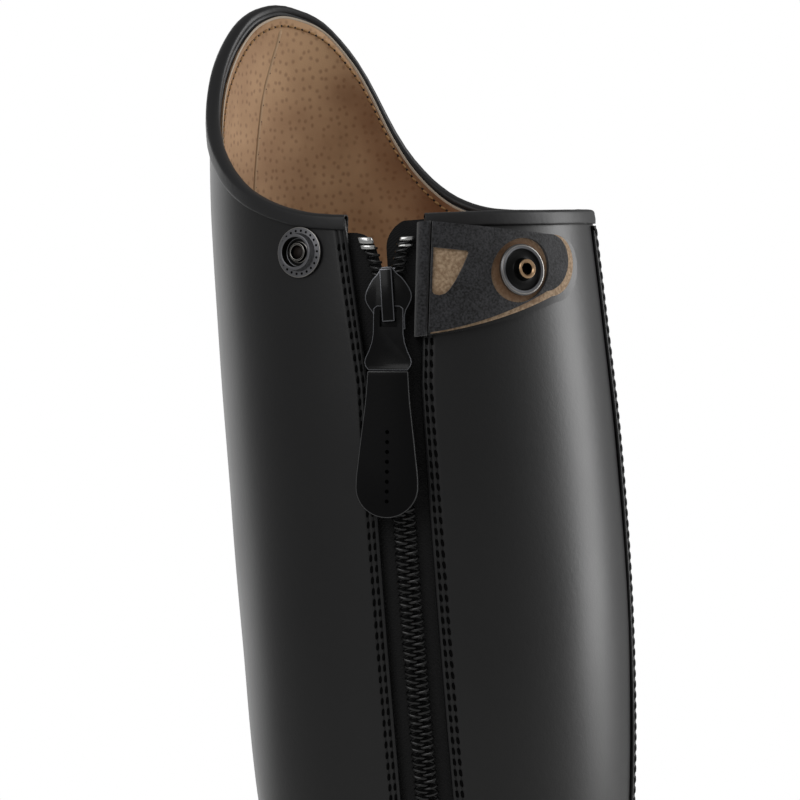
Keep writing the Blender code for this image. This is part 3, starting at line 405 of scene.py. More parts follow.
box_calf = calf_leather(
    "box_calf_black", "#101011", "#161617", rough_low=0.36, rough_high=0.46, grain=0.0006, depth=0.00002,
    coat=0.1,
)

# Places of the sheet's first columns beside the zip's opening, close enough for its edge and grooves.
EDGE_STEPS = (0.0, 0.0003, 0.0006, 0.0010, 0.0013, 0.0015, 0.0017, 0.0020, 0.0024, 0.0028, 0.0031,
              0.0034, 0.0038, 0.0044, 0.0054, 0.0070)
LEG_COLUMNS = 150
ROWS_PER_SECTION, SHAFT_ROWS = 3, 84
leg_levels = [k / ROWS_PER_SECTION for k in range(int(ANKLE_ROW) * ROWS_PER_SECTION)]
leg_levels += [ANKLE_ROW + k / SHAFT_ROWS for k in range(SHAFT_ROWS + 1)]


def leather_turn(column, columns, level, margin=0.0):
    """The turn of one of the sheet's columns, crowded beside the zip's opening. Also says how far the
    column is from the opening's edge."""
    height = skin(0.0, level).z
    edge = slot_half(height) + margin * ease(ZIP_END_HEIGHT, ZIP_END_HEIGHT + ZIP_END_LENGTH, height)
    outer_side, inner_side = turn_of(-edge, level), turn_of(edge, level) + 2 * math.pi
    radius = half_width(level, -1.0)
    steps = len(EDGE_STEPS) - 1
    if column <= steps:
        return outer_side + EDGE_STEPS[column] / radius, EDGE_STEPS[column]
    if column >= columns - steps:
        return inner_side - EDGE_STEPS[columns - column] / radius, EDGE_STEPS[columns - column]
    low, high = outer_side + EDGE_STEPS[-1] / radius, inner_side - EDGE_STEPS[-1] / radius
    return mix(low, high, (column - steps) / (columns - 2 * steps)), EDGE_STEPS[-1]


def stitched_relief(distance):
    """Height of the leather beside the zip: its turned edge, and a groove under each row of stitches."""
    turned = -TURNED_EDGE_DROP * max(1 - distance / TURNED_EDGE_REACH, 0.0) ** 2
    grooves = sum(
        GROOVE_DEPTH * math.exp(-(((distance - row) / GROOVE_REACH) ** 2)) for row in STITCH_ROWS
    )
    return turned - grooves


def outer_leather_point(a, b):
    level = leg_levels[round(b * (len(leg_levels) - 1))]
    turn, distance = leather_turn(round(a * LEG_COLUMNS), LEG_COLUMNS, level)
    point, normal, _, _ = skin_frame(turn, level)
    height = point.z
    relief = stitched_relief(distance) * ease(ZIP_END_HEIGHT, ZIP_END_HEIGHT + 0.012, height)
    hand = HAND_DEPTH * noise.noise(point * HAND_WAVES)
    hand = hand * ease(0.0, 1.5, level) * ease(0.0, 0.006, distance)
    return point + normal * (relief + hand)


def face_from_axis(piece):
    """Turns a sheet round the leg so that its faces look away from the leg's middle."""
    tall = [p for p in piece.data.polygons if p.center.z > ANKLE_HEIGHT]
    outward = sum(p.normal.dot(Vector((p.center.x, p.center.y, 0.0))) for p in tall)
    if outward < 0:
        piece.data.flip_normals()


bm = surface_grid(LEG_COLUMNS, len(leg_levels) - 1, outer_leather_point)
upper = make_piece("upper_outer_leather", bm, box_calf)
face_from_axis(upper)
thicken(upper, OUTER_LEATHER)
fit(upper, "black_leather", "upper")

# Lining: natural pigskin, 0.9 mm thick, glued and sewn to the inside of the leg.
# It is dyed through but not painted, so its groups of bristle holes and darker smudges show. Its cut edge
# lies on the collar binding and is a little ragged and paler.
LINING_DEPTH = 0.0019
LINING_THICKNESS = 0.0009
LINING_MARGIN = 0.002
LAP_DEPTH, LAP_FROM, LAP_TO = 0.0014, 0.005, 0.024
RAGGED_DEPTH, RAGGED_WAVES = 0.0005, 90.0

# Degrees round the leg from the back by the outer side, and how far the cut edge lies below the collar.
LINING_EDGE = ((0, 0.0036), (90, 0.0036), (112, 0.0034), (135, 0.0022), (160, 0.0015), (195, 0.0013),
               (235, 0.0017), (275, 0.0030), (360, 0.0036))
LINING_COLUMNS = 144
LINING_ROWS = 64
lining_levels = [k / 2 for k in range(1, int(ANKLE_ROW) * 2)]
lining_levels += [ANKLE_ROW + k / LINING_ROWS for k in range(LINING_ROWS)]


def pigskin():
    """Pigskin: a matte tan skin with dark bristle holes 3 mm apart, clouds 26 mm wide that fade the holes
    over 11 mm, smudges from the piece's own attribute, and a nap of half a millimetre. The nap's fibres
    are really finer, and are drawn that coarse to show."""
    made, tree, shader = new_material("pigskin_lining", Roughness=0.82, IOR=1.45, Sheen_Weight=0.15)
    place = add_node(tree, "ShaderNodeUVMap", {"uv_map": "UVMap"}).outputs["UV"]
    cloud = add_node(tree, "ShaderNodeTexNoise", {"Scale": 38.0, "Detail": 5.0}, [(place, "Vector")])
    ramp = add_node(tree, "ShaderNodeValToRGB", {}, [(cloud.outputs["Fac"], "Fac")])
    ramp.color_ramp.elements[0].position, ramp.color_ramp.elements[1].position = 0.34, 0.66
    ramp.color_ramp.elements[0].color = linear("#ad8561")
    ramp.color_ramp.elements[1].color = linear("#cba37c")
    shift = add_node(tree, "ShaderNodeTexNoise", {"Scale": 300.0}, [(place, "Vector")])
    wander = add_node(
        tree, "ShaderNodeVectorMath", {"operation": "MULTIPLY_ADD", 1: (0.0008, 0.0008, 0.0)},
        [(shift.outputs["Color"], 0), (place, 2)],
    )
    holes = add_node(
        tree, "ShaderNodeTexVoronoi", {"voronoi_dimensions": "2D", "Scale": 330.0, "Randomness": 0.6},
        [(wander.outputs["Vector"], "Vector")],
    )
    spot = add_node(
        tree, "ShaderNodeMapRange", {"From Min": 0.08, "From Max": 0.3, "To Min": 0.42, "To Max": 0.0},
        [(holes.outputs["Distance"], "Value")],
    )
    thin = add_node(tree, "ShaderNodeTexNoise", {"Scale": 90.0, "Detail": 2.0}, [(place, "Vector")])
    where = add_node(
        tree, "ShaderNodeMapRange", {"From Min": 0.15, "From Max": 0.5}, [(thin.outputs["Fac"], "Value")]
    )
    depth = add_node(
        tree, "ShaderNodeMath", {"operation": "MULTIPLY"},
        [(spot.outputs["Result"], 0), (where.outputs["Result"], 1)],
    )
    pored = add_node(
        tree, "ShaderNodeMix", {"data_type": "RGBA", 7: linear("#6f4526")},
        [(depth.outputs["Value"], "Factor"), (ramp.outputs["Color"], 6)],
    )
    stain = add_node(tree, "ShaderNodeAttribute", {"attribute_name": "stain"})
    stained = add_node(
        tree, "ShaderNodeMix", {"data_type": "RGBA", 7: linear("#7c5030")},
        [(stain.outputs["Fac"], "Factor"), (pored.outputs[2], 6)],
    )
    nap = add_node(tree, "ShaderNodeTexNoise", {"Scale": 1800.0, "Detail": 3.0}, [(place, "Vector")])
    fuzz = add_node(
        tree, "ShaderNodeBump", {"Strength": 0.6, "Distance": 0.00008}, [(nap.outputs["Fac"], "Height")]
    )
    dent = add_node(
        tree, "ShaderNodeBump", {"Strength": 0.5, "Distance": 0.00015, "invert": True},
        [(depth.outputs["Value"], "Height"), (fuzz.outputs["Normal"], "Normal")],
    )
    tree.links.new(stained.outputs[2], shader.inputs["Base Color"])
    tree.links.new(dent.outputs["Normal"], shader.inputs["Normal"])
    return made


pigskin_material = pigskin()
lining_edge = smooth_curve(LINING_EDGE)


def raised(turn, level, out):
    """A point at a distance outside the upper's outer surface."""
    point, normal, _, _ = skin_frame(turn, level)
    return point + normal * out


def lining_drop(turn):
    """How far below the collar the lining's cut edge lies, at a turn."""
    return lining_edge(math.degrees(turn) % 360)


def lining_place(a, b):
    """Turn and level of a place on the lining, whose top stops short of the collar."""
    row = round(b * len(lining_levels))
    at_edge = row == len(lining_levels)
    level = ANKLE_ROW + 1 if at_edge else lining_levels[row]
    turn, _ = leather_turn(round(a * LINING_COLUMNS), LINING_COLUMNS, level, LINING_MARGIN)
    if at_edge:
        ragged = RAGGED_DEPTH * noise.noise(Vector((turn * RAGGED_WAVES, 0.0, 3.0)))
        level = ANKLE_ROW + 1 - (lining_drop(turn) + ragged) / (collar_height(turn) - ANKLE_HEIGHT)
    return turn, level


def lining_lap(below):
    """How far the lining stands in where it lies over the collar binding."""
    return LAP_DEPTH * (1 - ease(LAP_FROM, LAP_TO, below))


def lining_point(a, b):
    turn, level = lining_place(a, b)
    below = (ANKLE_ROW + 1 - level) * (collar_height(turn) - ANKLE_HEIGHT) - lining_drop(turn)
    return raised(turn, level, -LINING_DEPTH - (lining_lap(below) if level > ANKLE_ROW else 0.0))


def lining_measure(a, b):
    turn, level = lining_place(a, b)
    return turn * CALF_WIDTH / 2, skin(turn, level).z


bm = surface_grid(LINING_COLUMNS, len(lining_levels), lining_point, lining_measure)
lining = make_piece("leg_lining_pigskin", bm, pigskin_material)
face_from_axis(lining)
thicken(lining, LINING_THICKNESS)
fit(lining, "tan_leather")

# Smudges: dark marks in the pigskin where the collar falls from its peak, left by hands and by the zip.
# They are an attribute of the lining, which its material reads.

# Turn in degrees, height, reach round the leg and up it, and strength of each smudge.
SMUDGES = (
    (158, 0.478, 0.008, 0.006, 0.6), (166, 0.468, 0.007, 0.008, 0.7), (176, 0.455, 0.009, 0.007, 0.75),
    (184, 0.443, 0.010, 0.008, 0.8), (190, 0.432, 0.014, 0.009, 0.7), (205, 0.425, 0.020, 0.010, 0.6),
)
stain = lining.data.attributes.new("stain", "FLOAT", "POINT")
for vert in lining.data.vertices:
    turn = math.degrees(math.atan2(-vert.co.x, -vert.co.y)) % 360
    amount = 0.0
    for centre, height, wide, tall, strength in SMUDGES:
        around = math.radians(turn - centre) * CALF_WIDTH / 2
        amount += strength * math.exp(-((around / wide) ** 2) - ((vert.co.z - height) / tall) ** 2)
    stain.data[vert.index].value = min(amount, 1.0)

# Collar binding: a strip of thin black calf folded over the collar and sewn through.
# It is creased along its middle on the inside, and its lower edge is left raw, which gives a thin pale line.
BINDING_DEPTH = 0.0034
BINDING_THICKNESS = 0.0006
BINDING_WAVE = 0.00012
WALL = 0.0026
binding_calf = calf_leather(
    "binding_calf_black", "#18181a", "#242425", rough_low=0.42, rough_high=0.55, grain=0.0007,
    depth=0.00003, coat=0.05,
)

BINDING_OUT = GAP + BINDING_THICKNESS
BINDING_IN = WALL + BINDING_OUT
BINDING_ARC = 9

# Out from the upper's outer surface and down from the collar's edge, from the strip's outer edge, over
# the collar, to its two creases and its raw edge on the inside.
binding_profile = [(BINDING_OUT - 0.0001, BINDING_DEPTH), (BINDING_OUT, BINDING_DEPTH - 0.0006)]
binding_profile += [(BINDING_OUT + 0.0001, 0.0018), (BINDING_OUT, 0.0006)]
for k in range(BINDING_ARC + 1):
    angle = math.pi * k / BINDING_ARC
    middle, half = (BINDING_OUT - BINDING_IN) / 2, (BINDING_OUT + BINDING_IN) / 2
    binding_profile.append((middle + half * math.cos(angle), -half * math.sin(angle) * 0.55))
binding_profile += [(-BINDING_IN, 0.0008), (-BINDING_IN + 0.00025, 0.0011), (-BINDING_IN, 0.0014)]
binding_profile += [(-BINDING_IN, 0.0022), (-BINDING_IN + 0.00025, 0.0025), (-BINDING_IN, 0.0028)]
binding_profile += [(-BINDING_IN, BINDING_DEPTH + 0.0006)]


def binding_point(a, b):
    level = ANKLE_ROW + 1
    turn, _ = leather_turn(round(a * LEG_COLUMNS), LEG_COLUMNS, level)
    away, deep = binding_profile[round(b * (len(binding_profile) - 1))]
    point, normal, down, _ = skin_frame(turn, level)
    wave = BINDING_WAVE * noise.noise(Vector((turn * 14.0, away * 900.0, 0.0)))
    return point + normal * (away + wave) + down * (deep - GAP + wave)


bm = surface_grid(LEG_COLUMNS, len(binding_profile) - 1, binding_point)
binding = make_piece("collar_binding_strip", bm, binding_calf, sharp=50)
strip = binding.modifiers.new("strip", "SOLIDIFY")
strip.thickness = BINDING_THICKNESS
strip.offset = -1.0
fit(binding, "black_leather", "collar_binding")

# Lining seam and collar stitching.
# The lining's two halves meet in a rubbed-down seam on the outer side of the leg, and a row of tan linen
# thread, 3 mm inside the lining's edge, holds the lining to the binding all round the collar.

# Height, and degrees round the leg, of the seam.
LINING_SEAM = ((0.30, 112), (0.40, 115), (0.446, 118.5), (0.461, 121), (0.48, 126), (0.502, 135.5))
COLLAR_STITCH_BELOW = 0.0029
COLLAR_STITCH_PITCH = 0.0026
LINING_FACE = LINING_DEPTH + LINING_THICKNESS
SEAM_LOW, SEAM_HIGH = 0.302, 0.4985
SEAM_HOLE_PITCH, RIDGE_ASIDE = 0.0052, 0.0006


def thread(name, code, roughness=0.7, shine=0.5):
    """Waxed linen thread: matte, with its twist as a slanted ribbing, 0.35 mm to the rib."""
    made, tree, shader = new_material(
        name, Base_Color=linear(code), Roughness=roughness, IOR=1.5, Specular_IOR_Level=shine
    )
    place = add_node(tree, "ShaderNodeTexCoord", {}).outputs["Object"]
    twist = add_node(
        tree, "ShaderNodeTexWave", {"Scale": 900.0, "bands_direction": "DIAGONAL"}, [(place, "Vector")]
    )
    ribs = add_node(
        tree, "ShaderNodeBump", {"Strength": 0.5, "Distance": 0.00006}, [(twist.outputs["Fac"], "Height")]
    )
    tree.links.new(ribs.outputs["Normal"], shader.inputs["Normal"])
    return made


def shaft_level(height, turn):
    """The shaft's level at a height and a turn, which the collar's line fixes."""
    share = (height - ANKLE_HEIGHT) / (collar_height(turn) - ANKLE_HEIGHT)
    return ANKLE_ROW + min(share, 1.0)


def on_path(path, marks, length):
    """Point and normal at a length along a path of (point, normal) pairs."""
    k = min(max(bisect.bisect_left(marks, length), 1), len(marks) - 1)
    share = (length - marks[k - 1]) / (marks[k] - marks[k - 1])
    return [path[k - 1][i].lerp(path[k][i], share) for i in (0, 1)]


ball = bmesh.new()
bmesh.ops.create_uvsphere(ball, u_segments=8, v_segments=6, radius=1.0)
stitch_ball = bpy.data.meshes.new("stitch_ball")
ball.to_mesh(stitch_ball)
ball.free()


def add_ball(bm, place):
    """Adds the small round to a mesh, put in place by a matrix."""
    stitch_ball.transform(place)
    bm.from_mesh(stitch_ball)
    stitch_ball.transform(place.inverted())


def sew(bm, path, pitch, length, thickness, lift_off=0.0, slant=0.0, phase=0.5):
    """Adds one small rounded stitch for each pitch along a path of (point, normal) pairs."""
    marks = [0.0]
    for (start, _), (end, _) in zip(path, path[1:]):
        marks.append(marks[-1] + (end - start).length)
    for k in range(int(marks[-1] / pitch)):
        middle = (k + phase) * pitch
        start, _ = on_path(path, marks, middle - length / 2)
        end, _ = on_path(path, marks, middle + length / 2)
        point, normal = on_path(path, marks, middle)
        along = (end - start).normalized()
        along = Matrix.Rotation(slant, 3, normal) @ along
        across = normal.cross(along).normalized()
        axes = Matrix((across * thickness / 2, normal * thickness / 2, along * length / 2)).transposed()
        place = Matrix.Translation(point + normal * lift_off) @ axes.to_4x4()
        add_ball(bm, place)


def collar_path(below, inset, first=14.0, last=346.0, steps=300):
    """A path round the inside of the collar at a drop below it."""
    path = []
    for k in range(steps + 1):
        turn = math.radians(mix(first, last, k / steps))
        level = shaft_level(collar_height(turn) - lining_drop(turn) - below, turn)
        point, normal, _, _ = skin_frame(turn, level)
        path.append((point - normal * inset, -normal))
    return path


linen_thread = thread("linen_thread_tan", "#ab8355")

# Needle holes are painted as dark brown dots, dull like the thread: painted shade in the holes.
painted_hole_shade = thread("needle_hole_painted_shade", "#1c1009")
bm = bmesh.new()
collar_face = LINING_FACE + lining_lap(COLLAR_STITCH_BELOW)
stitch_path = collar_path(COLLAR_STITCH_BELOW, collar_face)
sew(bm, stitch_path, COLLAR_STITCH_PITCH, length=0.0020, thickness=0.0008, lift_off=0.00015, slant=0.12)
fit(make_piece("collar_stitches", bm, linen_thread), "tan_leather")
bm = bmesh.new()
sew(bm, stitch_path, COLLAR_STITCH_PITCH, length=0.0008, thickness=0.0007, phase=1.0)
fit(make_piece("collar_stitch_holes", bm, painted_hole_shade), "tan_leather")

lining_seam = smooth_curve(LINING_SEAM)
seam_path = []
for k in range(121):
    height = mix(SEAM_LOW, SEAM_HIGH, k / 120)
    turn = math.radians(lining_seam(height))
    point, normal, _, _ = skin_frame(turn, shaft_level(height, turn))
    below = collar_height(turn) - height - lining_drop(turn)
    seam_path.append((point - normal * (LINING_FACE + lining_lap(below)), -normal))
bm = bmesh.new()
sew(bm, seam_path, SEAM_HOLE_PITCH, length=0.0005, thickness=0.0005)
fit(make_piece("lining_seam_holes", bm, painted_hole_shade), "tan_leather")


def ridge(name, path, width, height, material, slot):
    """A low rounded ridge along a path, tapered to nothing at its ends."""
    last = len(path) - 1

    def place(a, b):
        k = round(b * last)
        point, normal = path[k]
        way = path[min(k + 1, last)][0] - path[max(k - 1, 0)][0]
        across = normal.cross(way.normalized()).normalized()
        angle = math.pi * a
        end = math.sin(math.pi * min(max(b, 0.002), 0.998)) ** 0.25
        out = height * math.sin(angle) * end - 0.0001
        return point + across * (width / 2 * math.cos(angle)) + normal * out

    piece = make_piece(name, surface_grid(6, last, place), material)
    thicken(piece, 0.0001)
    return fit(piece, slot)


# Pigskin where it is cut shows its pale core, dull and dry. Where the seam is rubbed down, it is a little
# polished and darker.
cut_edge, _, _ = new_material("pigskin_cut_edge", Base_Color=linear("#c6b7a4"), Roughness=0.9)
rubbed_edge, _, _ = new_material("pigskin_rubbed_edge", Base_Color=linear("#b49472"), Roughness=0.75)
edge_lap = LINING_FACE + lining_lap(0.0)
edge_path = collar_path(0.0002, edge_lap)
ridge("lining_cut_edge", edge_path, width=0.0008, height=0.0002, material=cut_edge, slot="tan_leather")
ridge_path = [(p + n.cross(Vector((0, 0, 1))) * RIDGE_ASIDE, n) for p, n in seam_path]
ridge("lining_seam_ridge", ridge_path, width=0.0012, height=0.0005, material=rubbed_edge, slot="tan_leather")

# Side seams: the back panel's edge lies on the front panel as a folded strip, down both sides to the sole.
# Box calf, 0.7 mm proud, sewn with two rows of black waxed thread at 3.3 mm to the stitch.
SEAM_WIDTH = 0.006
SEAM_THICKNESS = 0.0007
SEAM_TURNS = {"inner": math.radians(272), "outer": math.radians(98)}
BLACK_PITCH, BLACK_STITCH, BLACK_THREAD, BLACK_SLANT = 0.0033, 0.0026, 0.0006, 0.15
black_thread = thread("waxed_thread_black", "#020202", roughness=0.8, shine=0.1)


def sharp_edges(bm, angle):
    """The edges at which two faces meet by more than an angle in degrees."""
    limit = math.radians(angle)
    return [e for e in bm.edges if len(e.link_faces) == 2 and e.calc_face_angle(0.0) > limit]


def round_off(bm, edges, offset):
    """Rounds edges off, and gives the faces that are made."""
    made = bmesh.ops.bevel(
        bm, geom=edges, offset=offset, segments=2, profile=0.5, affect="EDGES", material=-1,
        clamp_overlap=True,
    )
    return made["faces"]


def slab(columns, rows, place, low, high, rounding=0.0, measure=None):
    """A solid between two heights over a surface, given as a function of two shares and a height, with
    its rim rounded."""
    bm = surface_grid(columns, rows, lambda a, b: (a, b, 0.0), measure)
    old = list(bm.verts)
    grown = bmesh.ops.extrude_face_region(bm, geom=list(bm.faces))["geom"]
    new = [v for v in grown if isinstance(v, bmesh.types.BMVert)]
    for verts, out in ((old, low), (new, high)):
        for v in verts:
            v.co = place(v.co.x, v.co.y, out)
    bmesh.ops.remove_doubles(bm, verts=bm.verts, dist=0.00001)
    bmesh.ops.recalc_face_normals(bm, faces=bm.faces)
    if rounding:
        round_off(bm, sharp_edges(bm, 50), rounding)
    return bm


def turn_at_length(y, level, side):
    """The turn on one side of the foot at which its surface lies at a place along the foot."""
    back, front = skin(0.0, level).y, skin(math.pi, level).y
    turn = math.acos(min(max(1 - 2 * (y - back) / (front - back), -1.0), 1.0))
    return turn if side < 0 else 2 * math.pi - turn


def round_stretch(turn, level):
    """Metres round the surface for a turn of one radian."""
    return (skin(turn + 0.02, level) - skin(turn - 0.02, level)).length / 0.04


seam_levels = [0.15] + [v for v in leg_levels if v > 0.4]
seam_levels[-1] -= (BINDING_DEPTH + 4 * GAP) / (BACK_HEIGHT - ANKLE_HEIGHT)
for side_name, seam_turn in SEAM_TURNS.items():
    ankle_y = skin(seam_turn, ANKLE_ROW).y
    middles = [
        seam_turn if level >= ANKLE_ROW else turn_at_length(ankle_y, level, side_of(seam_turn))
        for level in seam_levels
    ]

    def seam_place(a, b, out):
        k = round(b * (len(seam_levels) - 1))
        across = mix(-0.5, 0.5, a) * SEAM_WIDTH / round_stretch(middles[k], seam_levels[k])
        return raised(middles[k] + across, seam_levels[k], out)

    bm = slab(4, len(seam_levels) - 1, seam_place, GAP / 3, GAP + SEAM_THICKNESS, rounding=0.0003)
    fit(make_piece("side_seam_strip_" + side_name, bm, box_calf), "black_leather", "side_seam_" + side_name)
    bm = bmesh.new()
    for share in (0.2, 0.8):
        path = []
        for k in range(1, len(seam_levels)):
            b = k / (len(seam_levels) - 1)
            point = seam_place(share, b, GAP + SEAM_THICKNESS)
            path.append((point, (point - seam_place(share, b, 0.0)).normalized()))
        sew(bm, path, BLACK_PITCH, BLACK_STITCH, BLACK_THREAD, slant=BLACK_SLANT)
    fit(make_piece("side_seam_stitches_" + side_name, bm, black_thread), "black_leather")

# Zip stitching: two rows of black waxed thread beside the zip, through the turned leather and the tape.
# The stitches are short and thick and sit in the grooves that they pull into the leather.
STITCHES_FROM, STITCHES_TO = ZIP_END_HEIGHT + 0.016, BACK_HEIGHT - 0.0055
STITCH_SINK = 0.00028
BACK_STEPS = 280
back_heights = [skin(0.0, (ANKLE_ROW + 1) * k / BACK_STEPS).z for k in range(BACK_STEPS + 1)]


def back_level(height):
    """The level at which the back line reaches a height."""
    k = min(max(bisect.bisect_left(back_heights, height), 1), BACK_STEPS)
    share = (height - back_heights[k - 1]) / (back_heights[k] - back_heights[k - 1])
    return (ANKLE_ROW + 1) * (k - 1 + min(max(share, 0.0), 1.0)) / BACK_STEPS


bm = bmesh.new()
for side in (-1.0, 1.0):
    for row in STITCH_ROWS:
        path = []
        for k in range(220):
            height = mix(STITCHES_FROM, STITCHES_TO, k / 219)
            level = back_level(height)
            turn = turn_of(side * slot_half(height), level) - side * row / half_width(level, -1.0)
            point, normal, _, _ = skin_frame(turn, level)
            path.append((point - normal * STITCH_SINK, normal))
        sew(bm, path, BLACK_PITCH, length=0.0023, thickness=0.00095, lift_off=0.0001, slant=side * 0.2)
fit(make_piece("zip_stitches", bm, black_thread), "black_leather")

# Zip tapes: woven polyester tape, 0.7 mm thick, sewn behind the leather's turned edges.
# Above the slider they spread with the coils and end rounded, and the inner one carries a wider black flap
# of tape behind the coil.
TAPE_THICKNESS = 0.0007
TAPE_SEAM = 0.006
CHAIN_WIDTH = 0.0074
CHAIN_THICKNESS = 0.0022
CHAIN_INSET = 0.0004
COIL_SPREAD = 0.0062
SLIDER_DROP = 0.0150
SLIDER_LENGTH = 0.0190
STOP_HEIGHT = 0.0022
ZIP_TOP = BACK_HEIGHT - 0.0050
ZIP_BOTTOM = ZIP_END_HEIGHT + 0.002
COIL_INSET = CHAIN_INSET + CHAIN_THICKNESS
TAPE_INSET = max(WALL, COIL_INSET) + 2.6 * GAP
ZIP_MOUTH = BACK_HEIGHT - SLIDER_DROP - 0.4 * SLIDER_LENGTH
TAPE_END_RADIUS = 0.0045
ZIP_SIDES = ((-1.0, "outer"), (1.0, "inner"))


def back_point(x, height, inset):
    """A point near the zip: x to the side of the back line, at a height, inside the outer surface."""
    level = back_level(height)
    return raised(turn_of(x, level), level, -inset)


def coil_gap(height):
    """Half the gap between the open coils, from the slider's mouth to the top stops."""
    return COIL_SPREAD * max((height - ZIP_MOUTH) / (BACK_HEIGHT - ZIP_MOUTH), 0.0)


def woven_tape(name, code, pitch):
    """Polyester tape: a close twill, whose ribs run slantwise and catch little light. The ribs, really
    0.4 mm, are drawn as wide as the pitch, to show."""
    made, tree, shader = new_material(
        name, Base_Color=linear(code), Roughness=0.85, IOR=1.5, Sheen_Weight=0.1
    )
    place = add_node(tree, "ShaderNodeUVMap", {"uv_map": "UVMap"}).outputs["UV"]
    ribs = add_node(
        tree, "ShaderNodeTexWave",
        {"Scale": 0.31 / pitch, "Distortion": 0.6, "Detail": 1.0, "bands_direction": "DIAGONAL"},
        [(place, "Vector")],
    )
    lines = add_node(
        tree, "ShaderNodeTexWave", {"Scale": 0.31 / pitch, "bands_direction": "Y"}, [(place, "Vector")]
    )
    first = add_node(
        tree, "ShaderNodeBump", {"Strength": 0.8, "Distance": 0.0001}, [(ribs.outputs["Fac"], "Height")]
    )
    second = add_node(
        tree, "ShaderNodeBump", {"Strength": 0.5, "Distance": 0.0001},
        [(lines.outputs["Fac"], "Height"), (first.outputs["Normal"], "Normal")],
    )
    tree.links.new(second.outputs["Normal"], shader.inputs["Normal"])
    return made


zip_tape = woven_tape("polyester_tape_black", "#0a0a0b", 0.0007)
TAPE_COLUMNS, TAPE_ROWS = 10, 170


def tape_height(b):
    return mix(ZIP_BOTTOM, ZIP_TOP, 1 - (1 - b) ** 1.25)


def tape_span(height):
    """Nearest and farthest reach of a tape from the back line, with its rounded end."""
    near = coil_gap(height) + GAP / 6
    far = max(slot_half(height), SLOT_HALF) + TAPE_SEAM
    over = max(height - (ZIP_TOP - TAPE_END_RADIUS), 0.0) / TAPE_END_RADIUS
    return near + TAPE_END_RADIUS * (1 - math.sqrt(max(1 - over * over, 0.0))), far


for side, side_name in ZIP_SIDES:

    def tape_place(a, b, inset):
        near, far = tape_span(tape_height(b))
        return back_point(side * mix(near, far, a), tape_height(b), inset)

    def tape_measure(a, b):
        near, far = tape_span(tape_height(b))
        return mix(near, far, a), tape_height(b)

    bm = slab(
        TAPE_COLUMNS, TAPE_ROWS, tape_place, TAPE_INSET + TAPE_THICKNESS, TAPE_INSET, measure=tape_measure
    )
    fit(make_piece("zip_tape_woven_" + side_name, bm, zip_tape), "zip_tape", "zip_tape_" + side_name)

# The guard's free edge rises in a quarter round to its top. It is sewn down at its far edge, and stands in
# behind the coils.
GUARD_HIGH, GUARD_DROP, GUARD_LOW = 0.0006, 0.0094, 0.034
GUARD_REACH, GUARD_EDGE, GUARD_FAR = 0.0117, 0.0110, 0.0165
GUARD_RISE, GUARD_DEEPER = 0.0092, 0.0024


def guard_edge(drop):
    """How far out the guard's free edge lies at a drop below the top of the zip."""
    share = min(max((GUARD_DROP - drop) / GUARD_RISE, 0.0), 1.0)
    return GUARD_EDGE - GUARD_REACH * math.sqrt(1 - share * share)


def guard_place(a, b, inset):
    drop = mix(GUARD_HIGH, GUARD_LOW, b**1.6)
    x = mix(guard_edge(drop), GUARD_FAR, a)
    deeper = GUARD_DEEPER * (1 - ease(0.006, 0.013, x))
    return back_point(x, BACK_HEIGHT - drop, inset + deeper)


bm = slab(
    14, 60, guard_place, TAPE_INSET + 2 * TAPE_THICKNESS, TAPE_INSET + TAPE_THICKNESS, rounding=0.00015,
    measure=lambda a, b: (a * 0.016, b * GUARD_LOW),
)
fit(make_piece("zip_guard", bm, zip_tape), "zip_tape")

# Zip coils: nylon wire, 0.76 mm, wound and pressed so that its heads lock with the other side's.
# The rounds of the wire show as small glossy loops on both sides of a middle line.
WIRE_RADIUS = 0.00038
COIL_PITCH = 0.00208
TURN_POINTS = 14
COIL_MIDDLE, COIL_HALF = 0.0014, 0.00195
COIL_DEPTH, COIL_HALF_DEPTH = 0.0015, 0.00075

# Nylon drawn smooth: a sharp gloss that handling has dulled in places, a millimetre or two across.
nylon, nylon_tree, nylon_shader = new_material(
    "nylon_coil_black", Base_Color=linear("#070708"), Roughness=0.2, IOR=1.53, Coat_Weight=0.3
)
nylon_place = add_node(nylon_tree, "ShaderNodeTexCoord", {}).outputs["Object"]
nylon_mist = add_node(
    nylon_tree, "ShaderNodeTexNoise", {"Scale": 700.0, "Detail": 2.0}, [(nylon_place, "Vector")]
)
nylon_rough = add_node(
    nylon_tree, "ShaderNodeMapRange", {"To Min": 0.16, "To Max": 0.42},
    [(nylon_mist.outputs["Fac"], "Value")],
)
nylon_tree.links.new(nylon_rough.outputs["Result"], nylon_shader.inputs["Roughness"])


def wind_coil(bm, side, low, high):
    """Adds one side's wire between two heights."""
    curve = bpy.data.curves.new("wire", "CURVE")
    curve.dimensions = "3D"
    curve.bevel_depth = WIRE_RADIUS
    curve.bevel_resolution = 1
    curve.use_fill_caps = True
    count = int((high - low) / COIL_PITCH * TURN_POINTS)
    spline = curve.splines.new("POLY")
    spline.points.add(count)
    for k, point in enumerate(spline.points):
        turns = k / TURN_POINTS
        angle = 2 * math.pi * turns
        height = low + COIL_PITCH * (turns + 0.13 * math.sin(angle) + (0.5 if side > 0 else 0.0))
        x = COIL_MIDDLE + COIL_HALF * math.cos(angle) + coil_gap(height)
        point.co = (*back_point(side * x, height, COIL_DEPTH + COIL_HALF_DEPTH * math.sin(angle)), 1.0)
    drawn = bpy.data.objects.new("wire", curve)
    bpy.context.scene.collection.objects.link(drawn)
    bpy.context.view_layer.update()
    mesh = bpy.data.meshes.new_from_object(drawn.evaluated_get(bpy.context.evaluated_depsgraph_get()))
    bm.from_mesh(mesh)
    bpy.data.objects.remove(drawn)


